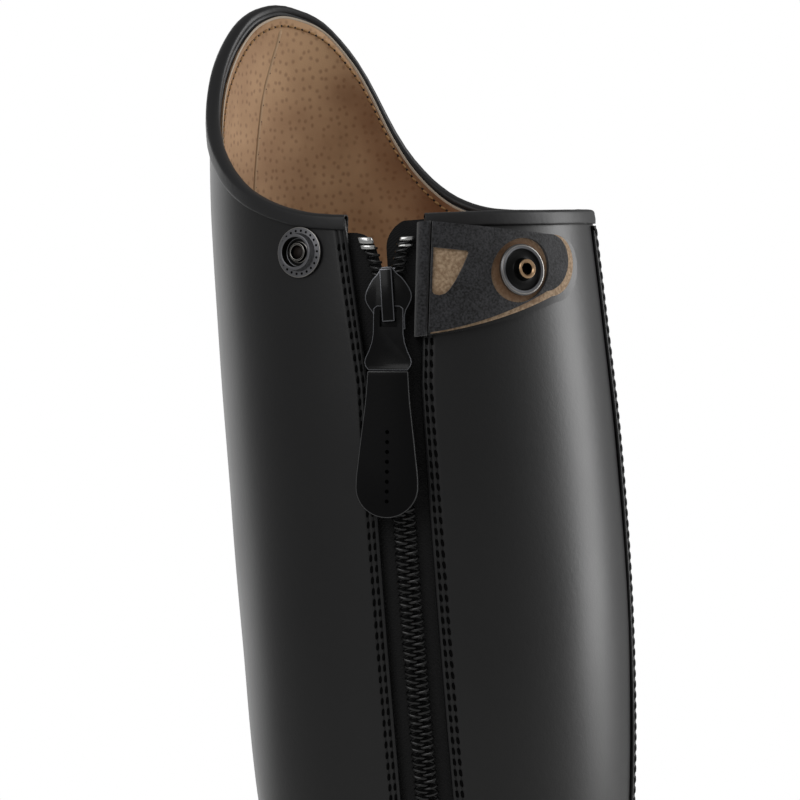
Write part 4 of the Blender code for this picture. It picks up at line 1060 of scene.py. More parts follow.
slider_end = BACK_HEIGHT - SLIDER_DROP - SLIDER_LENGTH
stops_top = ZIP_TOP - 0.0015
bm = bmesh.new()
for side in (-1.0, 1.0):
    wind_coil(bm, side, ZIP_BOTTOM + 0.006, slider_end + 0.002)
fit(make_piece("zip_chain_wire", bm, nylon, 60), "zip_nylon", "zip_chain")
for side, side_name in ZIP_SIDES:
    bm = bmesh.new()
    wind_coil(bm, side, BACK_HEIGHT - SLIDER_DROP - 0.004, stops_top - STOP_HEIGHT + 0.0004)
    fit(make_piece("zip_coil_wire_" + side_name, bm, nylon, 60), "zip_nylon", "zip_coil_" + side_name)

# Top stops: bright nickel-plated brass staples, pinched over the last turns of each coil.
# Each shows as two short bars with a hollow between them.

# Start and end of each bar, down from the top of the stops.
STOP_BARS = {"outer": ((0.0, 0.0019), (0.0023, 0.0036)), "inner": ((0.0, 0.0012), (0.0022, 0.0030))}
# Nickel plating: bright and slightly warm, dented a little by the pinching, about a millimetre to the dent.
nickel, nickel_tree, nickel_shader = new_material(
    "nickel_plated_brass", Base_Color=linear("#d8d8d6"), Metallic=1.0, Roughness=0.22
)
nickel_place = add_node(nickel_tree, "ShaderNodeTexCoord", {}).outputs["Object"]
nickel_wear = add_node(
    nickel_tree, "ShaderNodeTexNoise", {"Scale": 900.0, "Detail": 3.0}, [(nickel_place, "Vector")]
)
nickel_dents = add_node(
    nickel_tree, "ShaderNodeBump", {"Strength": 0.5, "Distance": 0.0001},
    [(nickel_wear.outputs["Fac"], "Height")],
)
nickel_tree.links.new(nickel_dents.outputs["Normal"], nickel_shader.inputs["Normal"])


def add_mesh(bm, part):
    """Adds a finished mesh to another."""
    mesh = bpy.data.meshes.new("part")
    part.to_mesh(mesh)
    part.free()
    bm.from_mesh(mesh)


for side, side_name in ZIP_SIDES:
    bm = bmesh.new()
    for start, end in STOP_BARS[side_name]:

        def bar_place(a, b, inset):
            height = stops_top - mix(start, end, b)
            x = coil_gap(height) + mix(-0.0001, CHAIN_WIDTH / 2 + 0.0005, a)
            return back_point(side * x, height, inset + 0.0004 * (2 * a - 1) ** 2)

        add_mesh(bm, slab(6, 2, bar_place, COIL_INSET, CHAIN_INSET - 0.0002, rounding=0.0003))
    fit(make_piece("top_stop_staple_" + side_name, bm, nickel, 50), "bright_metal", "top_stop_" + side_name)

# Zip end patch: a small calf patch, rounded at its lower end.
# It is glued over the zip's lower end, which it strengthens where the leg opens.
PATCH_THICKNESS = 0.0011
PATCH_BELOW, PATCH_ABOVE, PATCH_SIDE = 0.006, 0.016, 0.0055


def patch_place(a, b, out):
    height = mix(ZIP_END_HEIGHT - PATCH_BELOW, ZIP_END_HEIGHT + PATCH_ABOVE, b)
    half = (SLOT_HALF + PATCH_SIDE) * math.sqrt(max(1 - (1 - min(b / 0.5, 1.0)) ** 2 * 0.75, 0.0))
    return back_point(mix(-half, half, a), height, -out)


bm = slab(16, 24, patch_place, GAP, 1.5 * GAP + PATCH_THICKNESS, rounding=0.0003)
fit(make_piece("zip_end_patch_calf", bm, box_calf), "black_leather", "zip_end_patch")

# Zip slider: cast zinc with a black lacquer, with painted highlights along its edges.
# A crowned front plate with two shoulders, a bridge that the pull hangs on, a wedge that parts the coils,
# and a plate behind the tape.
SLIDER_LIFT = 0.0004
SLIDER_PLATE = 0.0013
BRIDGE_RISE = 0.0024
BRIDGE_BAR = 0.0013
BRIDGE_HALF = 0.0019
BRIDGE_START, BRIDGE_END = 0.0010, 0.0166
CROWN = 0.00015
WEDGE_HALF, WEDGE_START, WEDGE_END = 0.0012, 0.0004, 0.0036
BACK_PLATE_HALF, BACK_PLATE_START, BACK_PLATE_END = 0.0059, 0.0002, 0.0171

# Half width, and distance down from the top, round the slider's front plate.
SLIDER_SHAPE = ((0.0, 0.0002), (0.0016, 0.0003), (0.0031, 0.0024), (0.0044, 0.0036), (0.0055, 0.0052),
                (0.0064, 0.0068), (0.0069, 0.0082), (0.0070, 0.0094), (0.0067, 0.0106), (0.0059, 0.0121),
                (0.0050, 0.0135), (0.0046, 0.0150), (0.0045, 0.0170), (0.0045, 0.0190))

# The slider lies along the back line from its top to a place this far below its end.
SLIDER_LINE = 0.0172
slider_height = BACK_HEIGHT - SLIDER_DROP
slider_top = back_point(0.0, slider_height, 0.0)
slider_foot = back_point(0.0, slider_height - SLIDER_LENGTH - SLIDER_LINE, 0.0)
slider_down = (slider_foot - slider_top).normalized()
slider_across = Vector((1.0, 0.0, 0.0))
slider_out = slider_down.cross(slider_across).normalized()


def on_slider(x, down, out):
    """A point in the slider's frame, in the boot's."""
    return slider_top + slider_across * x + slider_down * down + slider_out * out


def lacquered_zinc(name, code, rough_low, rough_high):
    """Black lacquer over cast metal: a deep gloss with faint handling marks, about 2 mm wide."""
    made, tree, shader = new_material(
        name, Base_Color=linear(code), IOR=1.5, Coat_Weight=0.08, Coat_Roughness=0.1, Specular_IOR_Level=0.2
    )
    place = add_node(tree, "ShaderNodeTexCoord", {}).outputs["Object"]
    marks = add_node(tree, "ShaderNodeTexNoise", {"Scale": 420.0, "Detail": 5.0}, [(place, "Vector")])
    rough = add_node(
        tree, "ShaderNodeMapRange", {"To Min": rough_low, "To Max": rough_high},
        [(marks.outputs["Fac"], "Value")],
    )
    dents = add_node(
        tree, "ShaderNodeBump", {"Strength": 0.3, "Distance": 0.00005}, [(marks.outputs["Fac"], "Height")]
    )
    tree.links.new(rough.outputs["Result"], shader.inputs["Roughness"])
    tree.links.new(dents.outputs["Normal"], shader.inputs["Normal"])
    return made


def spotted_metal(name, code, roughness):
    """A metal, duller in spots 3 mm wide. A paler one on the slider's, the pull's and the snap's rims is a
    painted highlight, a thin line of light along the edge.
    """
    made, tree, shader = new_material(name, Base_Color=linear(code), Metallic=1.0)
    place = add_node(tree, "ShaderNodeTexCoord", {}).outputs["Object"]
    wear = add_node(tree, "ShaderNodeTexNoise", {"Scale": 350.0, "Detail": 3.0}, [(place, "Vector")])
    rough = add_node(
        tree, "ShaderNodeMapRange", {"To Min": roughness, "To Max": roughness + 0.2},
        [(wear.outputs["Fac"], "Value")],
    )
    tree.links.new(rough.outputs["Result"], shader.inputs["Roughness"])
    return made


# The slider's and the metal pull's upper edges are painted with a paler metal: painted highlights, as thin
# lines.
black_lacquer = lacquered_zinc("lacquered_zinc_black", "#020203", 0.2, 0.36)
edge_painted_highlight_metal = spotted_metal("zinc_edge_painted_highlight", "#7a7b7f", 0.25)


def flat_prism(outline, low, high):
    """A prism from an outline of (x, down) points, and its top faces."""
    bm = bmesh.new()
    face = bm.faces.new([bm.verts.new((x, down, low)) for x, down in outline])
    grown = bmesh.ops.extrude_face_region(bm, geom=[face])["geom"]
    lifted = [v for v in grown if isinstance(v, bmesh.types.BMVert)]
    bmesh.ops.translate(bm, verts=lifted, vec=(0.0, 0.0, high - low))
    return bm, [f for f in grown if isinstance(f, bmesh.types.BMFace)]


def flat_plate(outline, low, high, rounding, rim_width=0.0, rim_height=0.0):
    """A plate from an outline of (x, down) points, with rounded edges and, if asked for, a raised rim. Its
    upper rounded edges take the second material, which on the slider and the metal pull is a painted
    highlight."""
    bm, top = flat_prism(outline, low, high)
    if rim_width:
        bmesh.ops.inset_region(
            bm, faces=top, thickness=rim_width, use_even_offset=True, use_boundary=True
        )
        inner = {v for f in top for v in f.verts}
        bmesh.ops.translate(bm, verts=list(inner), vec=(0.0, 0.0, -rim_height))
    bmesh.ops.recalc_face_normals(bm, faces=bm.faces)
    # The upper rounded edges take the second material, a painted highlight on the slider and the metal pull.
    for face in round_off(bm, sharp_edges(bm, 40), rounding):
        face.material_index = 1 if face.calc_center_median().z > (low + high) / 2 else 0
    return bm


def add_bar(bm, half, start, end, low, high, rounding):
    """Adds a box with rounded edges, with a painted highlight on its upper ones."""
    outline = [(-half, start), (half, start), (half, end), (-half, end)]
    add_mesh(bm, flat_plate(outline, low, high, rounding))


def mirrored(shape):
    """Both halves of an outline from its right half."""
    return list(shape) + [(-x, down) for x, down in reversed(shape) if x > 0.00001]


def place_flat(bm, place):
    """Moves a flat mesh into place by a function of x, down and out."""
    for v in bm.verts:
        v.co = place(v.co.x, v.co.y, v.co.z)
    return bm


slider_face = SLIDER_LIFT + SLIDER_PLATE
slider_behind = TAPE_INSET + TAPE_THICKNESS + 2 * GAP
bridge_low, bridge_high = slider_face + BRIDGE_RISE, slider_face + BRIDGE_RISE + BRIDGE_BAR
bm = flat_plate(mirrored(SLIDER_SHAPE), SLIDER_LIFT, slider_face, rounding=0.0003)
for v in bm.verts:
    if v.co.z > slider_face - 0.0005:
        v.co.z += CROWN * (1 - (v.co.x / 0.007) ** 2)
add_bar(bm, BRIDGE_HALF, BRIDGE_START, BRIDGE_END, bridge_low, bridge_high, rounding=0.00035)
for start, end in ((BRIDGE_START, BRIDGE_START + BRIDGE_BAR), (BRIDGE_END - BRIDGE_BAR, BRIDGE_END)):
    add_bar(bm, BRIDGE_HALF, start, end, SLIDER_LIFT, bridge_high - 0.0003, rounding=0.0003)
add_bar(
    bm, WEDGE_HALF, WEDGE_START, WEDGE_END, -slider_behind - SLIDER_PLATE / 2, slider_face - 0.0002,
    rounding=0.0002,
)
add_bar(
    bm, BACK_PLATE_HALF, BACK_PLATE_START, BACK_PLATE_END, -slider_behind - SLIDER_PLATE, -slider_behind,
    rounding=0.0004,
)
slider = make_piece("zip_slider_lacquered", place_flat(bm, on_slider), black_lacquer, 30)
slider.data.materials.append(edge_painted_highlight_metal)
fit(slider, "black_metal", "zip_slider")

# Metal pull: pressed zinc with raised edges, an eye round the bridge and a flared foot.
# The maker's lettering that such pulls carry is left bare.
PIVOT_DROP = 0.0125
PIVOT_OUT = SLIDER_LIFT + SLIDER_PLATE + BRIDGE_RISE / 2
PULL_BAR = 0.0007
PULL_LENGTH = 0.0190
PULL_THICKNESS = 0.0012
PULL_CANT = math.radians(4.0)
EYE_WIDTH, EYE_PAST_BRIDGE = 0.0052, 0.0014

# Half width, and distance down from the top, round the pull.
PULL_SHAPE = ((0.0034, 0.0), (0.0044, 0.0008), (0.0045, 0.0040), (0.0045, 0.0082), (0.0049, 0.0108),
              (0.0058, 0.0134), (0.0067, 0.0153), (0.0070, 0.0166), (0.0067, 0.0178), (0.0058, 0.0190))


def on_pull(x, down, out):
    """A point of the pull, swung a little to the outer side about its pivot, in the boot's frame."""
    deep = down - PIVOT_DROP
    return on_slider(
        x * math.cos(PULL_CANT) - deep * math.sin(PULL_CANT),
        PIVOT_DROP + deep * math.cos(PULL_CANT) + x * math.sin(PULL_CANT),
        out,
    )


def cut_holes(bm, cutters):
    """Cuts flat prisms, each an outline of (x, down) points, through a flat solid."""
    made = []
    for body in [bm] + cutters:
        mesh = bpy.data.meshes.new("flat")
        body.to_mesh(mesh)
        body.free()
        flat = bpy.data.objects.new("flat", mesh)
        bpy.context.scene.collection.objects.link(flat)
        made.append(flat)
    for cutter in made[1:]:
        modifier = made[0].modifiers.new("cut", "BOOLEAN")
        modifier.operation = "DIFFERENCE"
        modifier.object = cutter
    bpy.context.view_layer.update()
    mesh = bpy.data.meshes.new_from_object(made[0].evaluated_get(bpy.context.evaluated_depsgraph_get()))
    bm = bmesh.new()
    bm.from_mesh(mesh)
    for flat in made:
        bpy.data.objects.remove(flat)
    return bm


pull_top = PIVOT_DROP - PULL_BAR
pull_low, pull_high = PIVOT_OUT - PULL_THICKNESS / 2, PIVOT_OUT + PULL_THICKNESS / 2
pull_right = [(x, pull_top + down) for x, down in PULL_SHAPE]
bm = flat_plate(
    mirrored(pull_right), pull_low, pull_high, rounding=0.00022, rim_width=0.0009, rim_height=0.00035
)
eye = bmesh.new()
bmesh.ops.create_cube(eye, size=1.0)
eye_low, eye_high = PIVOT_DROP + PULL_BAR, BRIDGE_END + EYE_PAST_BRIDGE
bmesh.ops.scale(eye, verts=eye.verts, vec=(EYE_WIDTH, eye_high - eye_low, 0.02))
bmesh.ops.translate(eye, verts=eye.verts, vec=(0.0, (eye_low + eye_high) / 2, 0.0))
bm = cut_holes(bm, [eye])
pull = make_piece("pull_tab_lacquered", place_flat(bm, on_pull), black_lacquer, 30)
pull.data.materials.append(edge_painted_highlight_metal)
fit(pull, "black_metal", "pull_tab", body="zip_pull")

# Leather pull: two layers of calf sewn together, 2.2 mm thick, cut to a drop and burnished at the edge.
# A row of eight small dots is pressed down its middle.

# Half width, and distance down from the top, down to where the round end starts.
PULLER_SHAPE = ((0.0060, 0.0), (0.0062, 0.0035), (0.0066, 0.0090), (0.0073, 0.0150), (0.0080, 0.0210),
                (0.0086, 0.0265), (0.0091, 0.0310), (0.0092, 0.0340))
PULLER_END_HALF, PULLER_END_START = PULLER_SHAPE[-1]
PULLER_LENGTH = 0.0430
PULLER_THICKNESS = 0.0022
DOT_START, DOT_SPACING, DOT_RADIUS, PULLER_DOTS = 0.0178, 0.00291, 0.00058, 8
puller_top = PIVOT_DROP - PULL_BAR + PULL_LENGTH + GAP
puller_calf = calf_leather(
    "puller_calf_black", "#040405", "#080809", rough_low=0.45, rough_high=0.58, grain=0.0004,
    depth=0.00002, coat=0.0, shine=0.14,
)
puller_edge = calf_leather(
    "burnished_calf_edge", "#3a3a3b", "#4a4a4b", rough_low=0.3, rough_high=0.45, grain=0.0004,
    depth=0.00002, coat=0.3,
)
puller_curve = smooth_curve([(down, x) for x, down in PULLER_SHAPE])
puller_right = [(puller_curve(down), down) for down in [PULLER_END_START * k / 24 for k in range(25)]]
for k in range(1, 16):
    angle = math.pi / 2 * k / 16
    down = PULLER_END_START + (PULLER_LENGTH - PULLER_END_START) * math.sin(angle)
    puller_right.append((PULLER_END_HALF * math.cos(angle), down))
puller_right.append((0.0, PULLER_LENGTH))
puller_outline = mirrored([(x, puller_top + down) for x, down in puller_right])
puller_low, puller_high = PIVOT_OUT - PULLER_THICKNESS / 2, PIVOT_OUT + PULLER_THICKNESS / 2
bm = flat_plate(puller_outline, puller_low, puller_high, rounding=0.00025)
puller = make_piece("pull_leather_calf", place_flat(bm, on_pull), puller_calf, 30)
puller.data.materials.append(puller_edge)
fit(puller, "black_leather", "pull_leather", body="zip_pull")
bm = bmesh.new()
for k in range(PULLER_DOTS):
    centre = on_pull(0.0, puller_top + (DOT_START + DOT_SPACING * k), puller_high)
    add_ball(bm, Matrix.Translation(centre) @ Matrix.Scale(DOT_RADIUS, 4))

# Leather pressed down into a dot is painted flat black: painted shade in the dent. The socket's pressed dots
# take it too.
painted_dent_shade, _, _ = new_material(
    "pressed_dot_painted_shade", Base_Color=linear("#010101"), Roughness=0.95, Specular_IOR_Level=0.05
)
fit(make_piece("pull_leather_dots", bm, painted_dent_shade), "black_leather", body="zip_pull")

# Snap socket: turned and plated brass in black nickel, riveted through the leg on the outer side.
# A flange with a ring of pressed dots, a raised collar and a tube round the hole.
SNAP_FLANGE, SNAP_RING, SNAP_TUBE, SNAP_BORE = 0.0075, 0.00535, 0.0030, 0.0018
SNAP_PLATE = 0.0008
SNAP_ROUNDING = 0.00018
SNAP_HEIGHT = 0.0032
SOCKET_TURN = math.radians(26.1)
SOCKET_DROP = 0.0094
SOCKET_RING_WALL = 0.0009
SOCKET_DOTS, SOCKET_DOT_RING = 22, 0.0064
SOCKET_DOT_SIZE = (0.0004, 0.0004, 0.00012, 1.0)

# Black nickel, a dark grey mirror with dull spots. In its hollows it is painted near black, as painted
# shade, and on its rims paler, as a painted highlight.
black_nickel = spotted_metal("black_nickel", "#7e7e81", 0.32)
black_nickel_painted_shade = lacquered_zinc("black_nickel_painted_shade", "#030303", 0.3, 0.45)
painted_rim_highlight = spotted_metal("black_nickel_rim_painted_highlight", "#aeaba6", 0.25)


def turned_piece(profile):
    """A piece turned on a lathe from a closed profile of (radius, height), rounded at its corners."""
    bm = bmesh.new()
    verts = [bm.verts.new((radius, 0.0, height)) for radius, height in profile]
    edges = [bm.edges.new((verts[k - 1], verts[k])) for k in range(len(verts))]
    bmesh.ops.spin(
        bm, geom=verts + edges, axis=(0, 0, 1), cent=(0, 0, 0), steps=48, angle=2 * math.pi, use_merge=True
    )
    bmesh.ops.remove_doubles(bm, verts=bm.verts, dist=0.000002)
    bmesh.ops.recalc_face_normals(bm, faces=bm.faces)
    # The rounded corners take the second finish, a painted highlight on the rims.
    for face in round_off(bm, sharp_edges(bm, 50), SNAP_ROUNDING):
        face.material_index = 1
    return bm


def ring_place(face):
    """Distance from the lathe's axis, and height, of a face's middle."""
    centre = face.calc_center_median()
    return math.hypot(centre.x, centre.y), centre.z


def stand_on(bm, point, normal):
    """Stands a turned piece on a point, along a normal."""
    turn = normal.to_track_quat("Z", "Y").to_matrix()
    for v in bm.verts:
        v.co = point + turn @ v.co
    return bm


def snap_part(name, bm, point, normal, *nodes):
    """A half of the snap, plated on its faces, with painted highlights on its rims and painted shade in its
    hollows.
    """
    piece = make_piece(name, stand_on(bm, point, normal), black_nickel, 30)
    for finish in (painted_rim_highlight, black_nickel_painted_shade):
        piece.data.materials.append(finish)
    return fit(piece, "black_metal", *nodes)


def snap_ground(name, radius, height, point, normal, material):
    """The dark disc that closes the bore of a half of the snap: painted shade deep in the bore."""
    bm = bmesh.new()
    bmesh.ops.create_circle(bm, cap_ends=True, segments=32, radius=radius)
    bmesh.ops.translate(bm, verts=bm.verts, vec=(0.0, 0.0, height))
    return thicken(make_piece(name, stand_on(bm, point, normal), material), 0.0003)


socket_profile = [
    (SNAP_BORE, 0.0), (SNAP_FLANGE, 0.0), (SNAP_FLANGE, SNAP_PLATE), (SNAP_RING + 0.0003, SNAP_PLATE),
    (SNAP_RING, SNAP_HEIGHT), (SNAP_RING - SOCKET_RING_WALL, SNAP_HEIGHT),
    (SNAP_RING - SOCKET_RING_WALL - 0.0002, SNAP_PLATE), (SNAP_TUBE, SNAP_PLATE),
    (SNAP_TUBE - 0.0003, SNAP_HEIGHT * 0.62), (SNAP_BORE + 0.0003, SNAP_HEIGHT * 0.62),
]
bm = turned_piece(socket_profile)
# Painted shade: the faces in the socket's hollow take the near-black finish. Painted highlight: only the
# rims of the flange and of the tube keep the pale finish.
for face in bm.faces:
    radius, height = ring_place(face)
    inside = radius < SNAP_RING - SOCKET_RING_WALL or height > SNAP_PLATE + 0.0003
    hollow = radius < SNAP_RING - 0.0002 and height < SNAP_HEIGHT - 0.0002
    if face.material_index == 0 and inside and hollow:
        face.material_index = 2
    if face.material_index == 1 and SNAP_TUBE + 0.0002 < radius < SNAP_FLANGE - 0.0004:
        face.material_index = 0
socket_point, socket_normal, _, _ = skin_frame(
    SOCKET_TURN, shaft_level(BACK_HEIGHT - SOCKET_DROP, SOCKET_TURN)
)
socket_base = socket_point + socket_normal * GAP
snap_part("snap_socket_turned", bm, socket_base, socket_normal, "snap_socket")
# Painted shade: the flange's pressed dots are flat black.
bm = bmesh.new()
for k in range(SOCKET_DOTS):
    angle = 2 * math.pi * k / SOCKET_DOTS
    spot = Vector((SOCKET_DOT_RING * math.cos(angle), SOCKET_DOT_RING * math.sin(angle), SNAP_PLATE))
    add_ball(bm, Matrix.Translation(spot) @ Matrix.Diagonal(SOCKET_DOT_SIZE))
dots = make_piece("snap_socket_dots", stand_on(bm, socket_base, socket_normal), painted_dent_shade)
fit(dots, "black_metal")
# Painted shade: a dark disc closes the socket's bore.
ground = snap_ground(
    "snap_socket_ground", SNAP_BORE + 0.0002, 0.0005, socket_base, socket_normal, painted_hole_shade
)
fit(ground, "tan_leather")

# Closure tab: the strap that closes over the zip, here folded open to the inner side.
# Box calf outside, an undyed calf lining with its cut edge showing as a pale rim, and a suede facing with a
# window cut in it and a hole for the snap.
TAB_LENGTH = 0.0524
TAB_BASE = 0.0333
TAB_DROP = 0.0029
TAB_TIP_RADIUS = 0.0098
TAB_LEATHER = 0.0015
TAB_LINING = 0.0009
TAB_FACING = 0.0007
TAB_LIFT = 0.0014
TAB_ROOT = 0.0017
LINING_SETBACK = 0.0038
FACING_SETBACK = 0.0071
STUD_ALONG, STUD_DROP = 0.0281, 0.0195
STUD_HOLE_RADIUS = 0.0094

# The round end's middle lies a little below the stud. A layer's end narrows and rises, and its root narrows,
# by these shares of its setback. The lower edge curves up to the end.
END_BELOW_STUD = 0.0005
END_NARROWS, END_RISES, ROOT_NARROWS = 0.2, 0.28, 0.1
LOWER_EDGE_BEND = 1.7
TAB_LEATHER_TOP = TAB_LIFT + TAB_LEATHER
TAB_LINING_TOP = TAB_LEATHER_TOP + GAP + TAB_LINING
TAB_FACING_TOP = TAB_LINING_TOP + GAP + TAB_FACING

# Along the tab and down from the collar, round the window in the suede.
WINDOW = ((0.0022, 0.0108), (0.0118, 0.0126), (0.0122, 0.0132), (0.0106, 0.0172), (0.0086, 0.0212),
          (0.0070, 0.0236), (0.0058, 0.0246), (0.0042, 0.0249), (0.0028, 0.0245), (0.0022, 0.0237))


def tab_frame(along, drop):
    """Point and normal where the tab lies: along the leg from the opening's edge, below the collar."""
    height = BACK_HEIGHT - drop
    level = back_level(height)
    turn = turn_of(slot_half(height), level) - along / half_width(level, 1.0)
    point, normal, _, _ = skin_frame(turn, shaft_level(height, turn))
    return point, normal


def on_tab(along, drop, out):
    point, normal = tab_frame(along, drop)
    return point + normal * out


def tab_end(setback):
    """Tip, radius and drop of the round end of a layer that stops short of the leather's tip."""
    radius = TAB_TIP_RADIUS - setback * END_NARROWS
    return TAB_LENGTH - setback, radius, STUD_DROP + END_BELOW_STUD - setback * END_RISES


def tab_edges(along, setback):
    """Upper and lower edge of the tab, as drops below the collar, at a place along it."""
    tip, radius, end_drop = tab_end(setback)
    centre = tip - radius
    share = min(max(along / centre, 0.0), 1.0)
    top = mix(TAB_DROP, end_drop - radius, share)
    root_bottom = TAB_DROP + TAB_BASE - setback * ROOT_NARROWS
    bottom = mix(root_bottom, end_drop + radius, share**LOWER_EDGE_BEND)
    if along > centre:
        reach = math.sqrt(max(radius**2 - (along - centre) ** 2, 0.0))
        top, bottom = end_drop - reach, end_drop + reach
    return top, bottom


def tab_layer(setback, low, high, rounding, start=TAB_ROOT):
    """One layer of the tab while it is flat."""
    tip, radius, _ = tab_end(setback)
    centre = tip - radius

    def place(a, b, out):
        share = a * 1.3
        if share < 1.0:
            along = mix(start, centre, share)
        else:
            along = centre + (tip - centre) * math.sin(math.pi / 2 * (share - 1) / 0.3)
        top, bottom = tab_edges(along, setback)
        return Vector((along, mix(top, bottom, b), out))

    return slab(65, 24, place, low, high, rounding)


def suede(name, dark, light):
    """Suede: buffed fibres that stand up, dark in one lie of the nap and grey in the other. The lie changes
    over 6 mm, and the fibres are drawn as specks of 0.7 mm, coarser than they are, to show."""
    made, tree, shader = new_material(name, Roughness=0.95, IOR=1.4, Sheen_Weight=0.25, Sheen_Roughness=0.6)
    place = add_node(tree, "ShaderNodeTexCoord", {}).outputs["Object"]
    fibre = add_node(tree, "ShaderNodeTexNoise", {"Scale": 1500.0, "Detail": 4.0}, [(place, "Vector")])
    lie = add_node(tree, "ShaderNodeTexNoise", {"Scale": 160.0, "Detail": 3.0}, [(place, "Vector")])
    both = add_node(
        tree, "ShaderNodeMath", {"operation": "MULTIPLY_ADD", 1: 0.72},
        [(fibre.outputs["Fac"], 0)],
    )
    soft = add_node(tree, "ShaderNodeMath", {"operation": "MULTIPLY", 1: 0.28}, [(lie.outputs["Fac"], 0)])
    tree.links.new(soft.outputs["Value"], both.inputs[2])
    ramp = add_node(tree, "ShaderNodeValToRGB", {}, [(both.outputs["Value"], "Fac")])
    ramp.color_ramp.elements[0].position, ramp.color_ramp.elements[1].position = 0.38, 0.62
    ramp.color_ramp.elements[0].color, ramp.color_ramp.elements[1].color = linear(dark), linear(light)
    nap = add_node(
        tree, "ShaderNodeBump", {"Strength": 0.8, "Distance": 0.00015}, [(fibre.outputs["Fac"], "Height")]
    )
    tree.links.new(ramp.outputs["Color"], shader.inputs["Base Color"])
    tree.links.new(nap.outputs["Normal"], shader.inputs["Normal"])
    return made


def raw_calf(name, dark, light):
    """Undyed calf lining: a pale fleshy beige with brown and light specks, 0.9 mm wide. A ring round the
    stud is painted brown, partly painted shade round the stud and partly rubbed wear."""
    made, tree, shader = new_material(name, Roughness=0.85, IOR=1.45, Sheen_Weight=0.1)
    stud_middle = tuple(tab_frame(STUD_ALONG, STUD_DROP)[0])
    place = add_node(tree, "ShaderNodeTexCoord", {}).outputs["Object"]
    specks = add_node(tree, "ShaderNodeTexNoise", {"Scale": 1100.0, "Detail": 5.0}, [(place, "Vector")])
    ramp = add_node(tree, "ShaderNodeValToRGB", {}, [(specks.outputs["Fac"], "Fac")])
    ramp.color_ramp.elements[0].position, ramp.color_ramp.elements[1].position = 0.36, 0.64
    ramp.color_ramp.elements[0].color, ramp.color_ramp.elements[1].color = linear(dark), linear(light)
    fuzz = add_node(
        tree, "ShaderNodeBump", {"Strength": 0.6, "Distance": 0.0001}, [(specks.outputs["Fac"], "Height")]
    )
    # Painted shade and wear: the brown ring round the stud fades out between 9.2 and 12.5 mm from its
    # middle.
    away = add_node(
        tree, "ShaderNodeVectorMath", {"operation": "DISTANCE", 1: stud_middle}, [(place, 0)]
    )
    near = add_node(
        tree, "ShaderNodeMapRange", {"From Min": 0.0092, "From Max": 0.0125, "To Min": 0.8, "To Max": 0.0},
        [(away.outputs["Value"], "Value")],
    )
    stud_ring_shade_and_wear = add_node(
        tree, "ShaderNodeMix", {"data_type": "RGBA", 7: linear("#6b4a30")},
        [(near.outputs["Result"], "Factor"), (ramp.outputs["Color"], 6)],
    )
    tree.links.new(stud_ring_shade_and_wear.outputs[2], shader.inputs["Base Color"])
    tree.links.new(fuzz.outputs["Normal"], shader.inputs["Normal"])
    return made


black_suede = suede("suede_black", "#0f0f10", "#3e3e41")
undyed_calf = raw_calf("undyed_calf_lining", "#9c8064", "#c9ae90")
bm = tab_layer(0.0, TAB_LIFT, TAB_LEATHER_TOP, rounding=0.0003)
fit(make_piece("tab_outer_calf", place_flat(bm, on_tab), box_calf), "black_leather", "closure_tab")
# The lining starts 0.6 mm further from the root than the facing, so a thin strip of the black calf shows
# beside the fold: painted shade in the crease.
bm = tab_layer(LINING_SETBACK, TAB_LEATHER_TOP, TAB_LINING_TOP, rounding=0.00015, start=TAB_ROOT + 0.0006)
fit(make_piece("tab_lining_calf", place_flat(bm, on_tab), undyed_calf), "tan_leather", "tab_lining")
hole = bmesh.new()
bmesh.ops.create_cone(
    hole, cap_ends=True, segments=72, radius1=STUD_HOLE_RADIUS, radius2=STUD_HOLE_RADIUS, depth=0.02
)
bmesh.ops.translate(hole, verts=hole.verts, vec=(STUD_ALONG, STUD_DROP, 0.0))
window, _ = flat_prism(WINDOW, -0.01, 0.01)
bmesh.ops.recalc_face_normals(window, faces=window.faces)
bm = cut_holes(tab_layer(FACING_SETBACK, TAB_LINING_TOP, TAB_FACING_TOP, rounding=0.0), [hole, window])
fit(make_piece("tab_facing_suede", place_flat(bm, on_tab), black_suede), "black_suede", "tab_facing")

# Tab fold: the tab's root, which wraps the edge of the zip's opening.
# It is the facing's suede, turned round the edge in one piece and creased where it turns.

# Along the tab and out from the leg, of the fold's inner and outer face.
FOLD_PATH = ((-0.0007, -0.0026), (-0.0009, -0.0012), (-0.0009, 0.0006), (-0.0008, 0.0011), (-0.0003, 0.0013),
             (0.0003, 0.0012), (0.0009, 0.0012), (0.0014, 0.0012))
FOLD_OUT = ((-0.0020, -0.0026), (-0.0022, -0.0010), (-0.0022, 0.0016), (-0.0019, 0.0032), (-0.0011, 0.0042),
            (-0.0001, 0.0045), (0.0008, 0.0043), (0.0014, 0.0037))
fold_curves = [[smooth_curve([(k, row[c]) for k, row in enumerate(path)]) for c in (0, 1)]
               for path in (FOLD_PATH, FOLD_OUT)]


def fold_place(a, b, which):
    along, out = (curve(a * (len(FOLD_PATH) - 1)) for curve in fold_curves[round(which)])
    point, normal = tab_frame(max(along, 0.0), mix(TAB_DROP, TAB_DROP + TAB_BASE, b))
    sideways = Vector((normal.y, -normal.x, 0.0)).normalized() * -1
    return point + normal * out + sideways * min(along, 0.0)


bm = slab(20, 24, fold_place, 0.0, 1.0)
fit(make_piece("tab_fold_suede", bm, black_suede), "black_suede", "tab_fold")

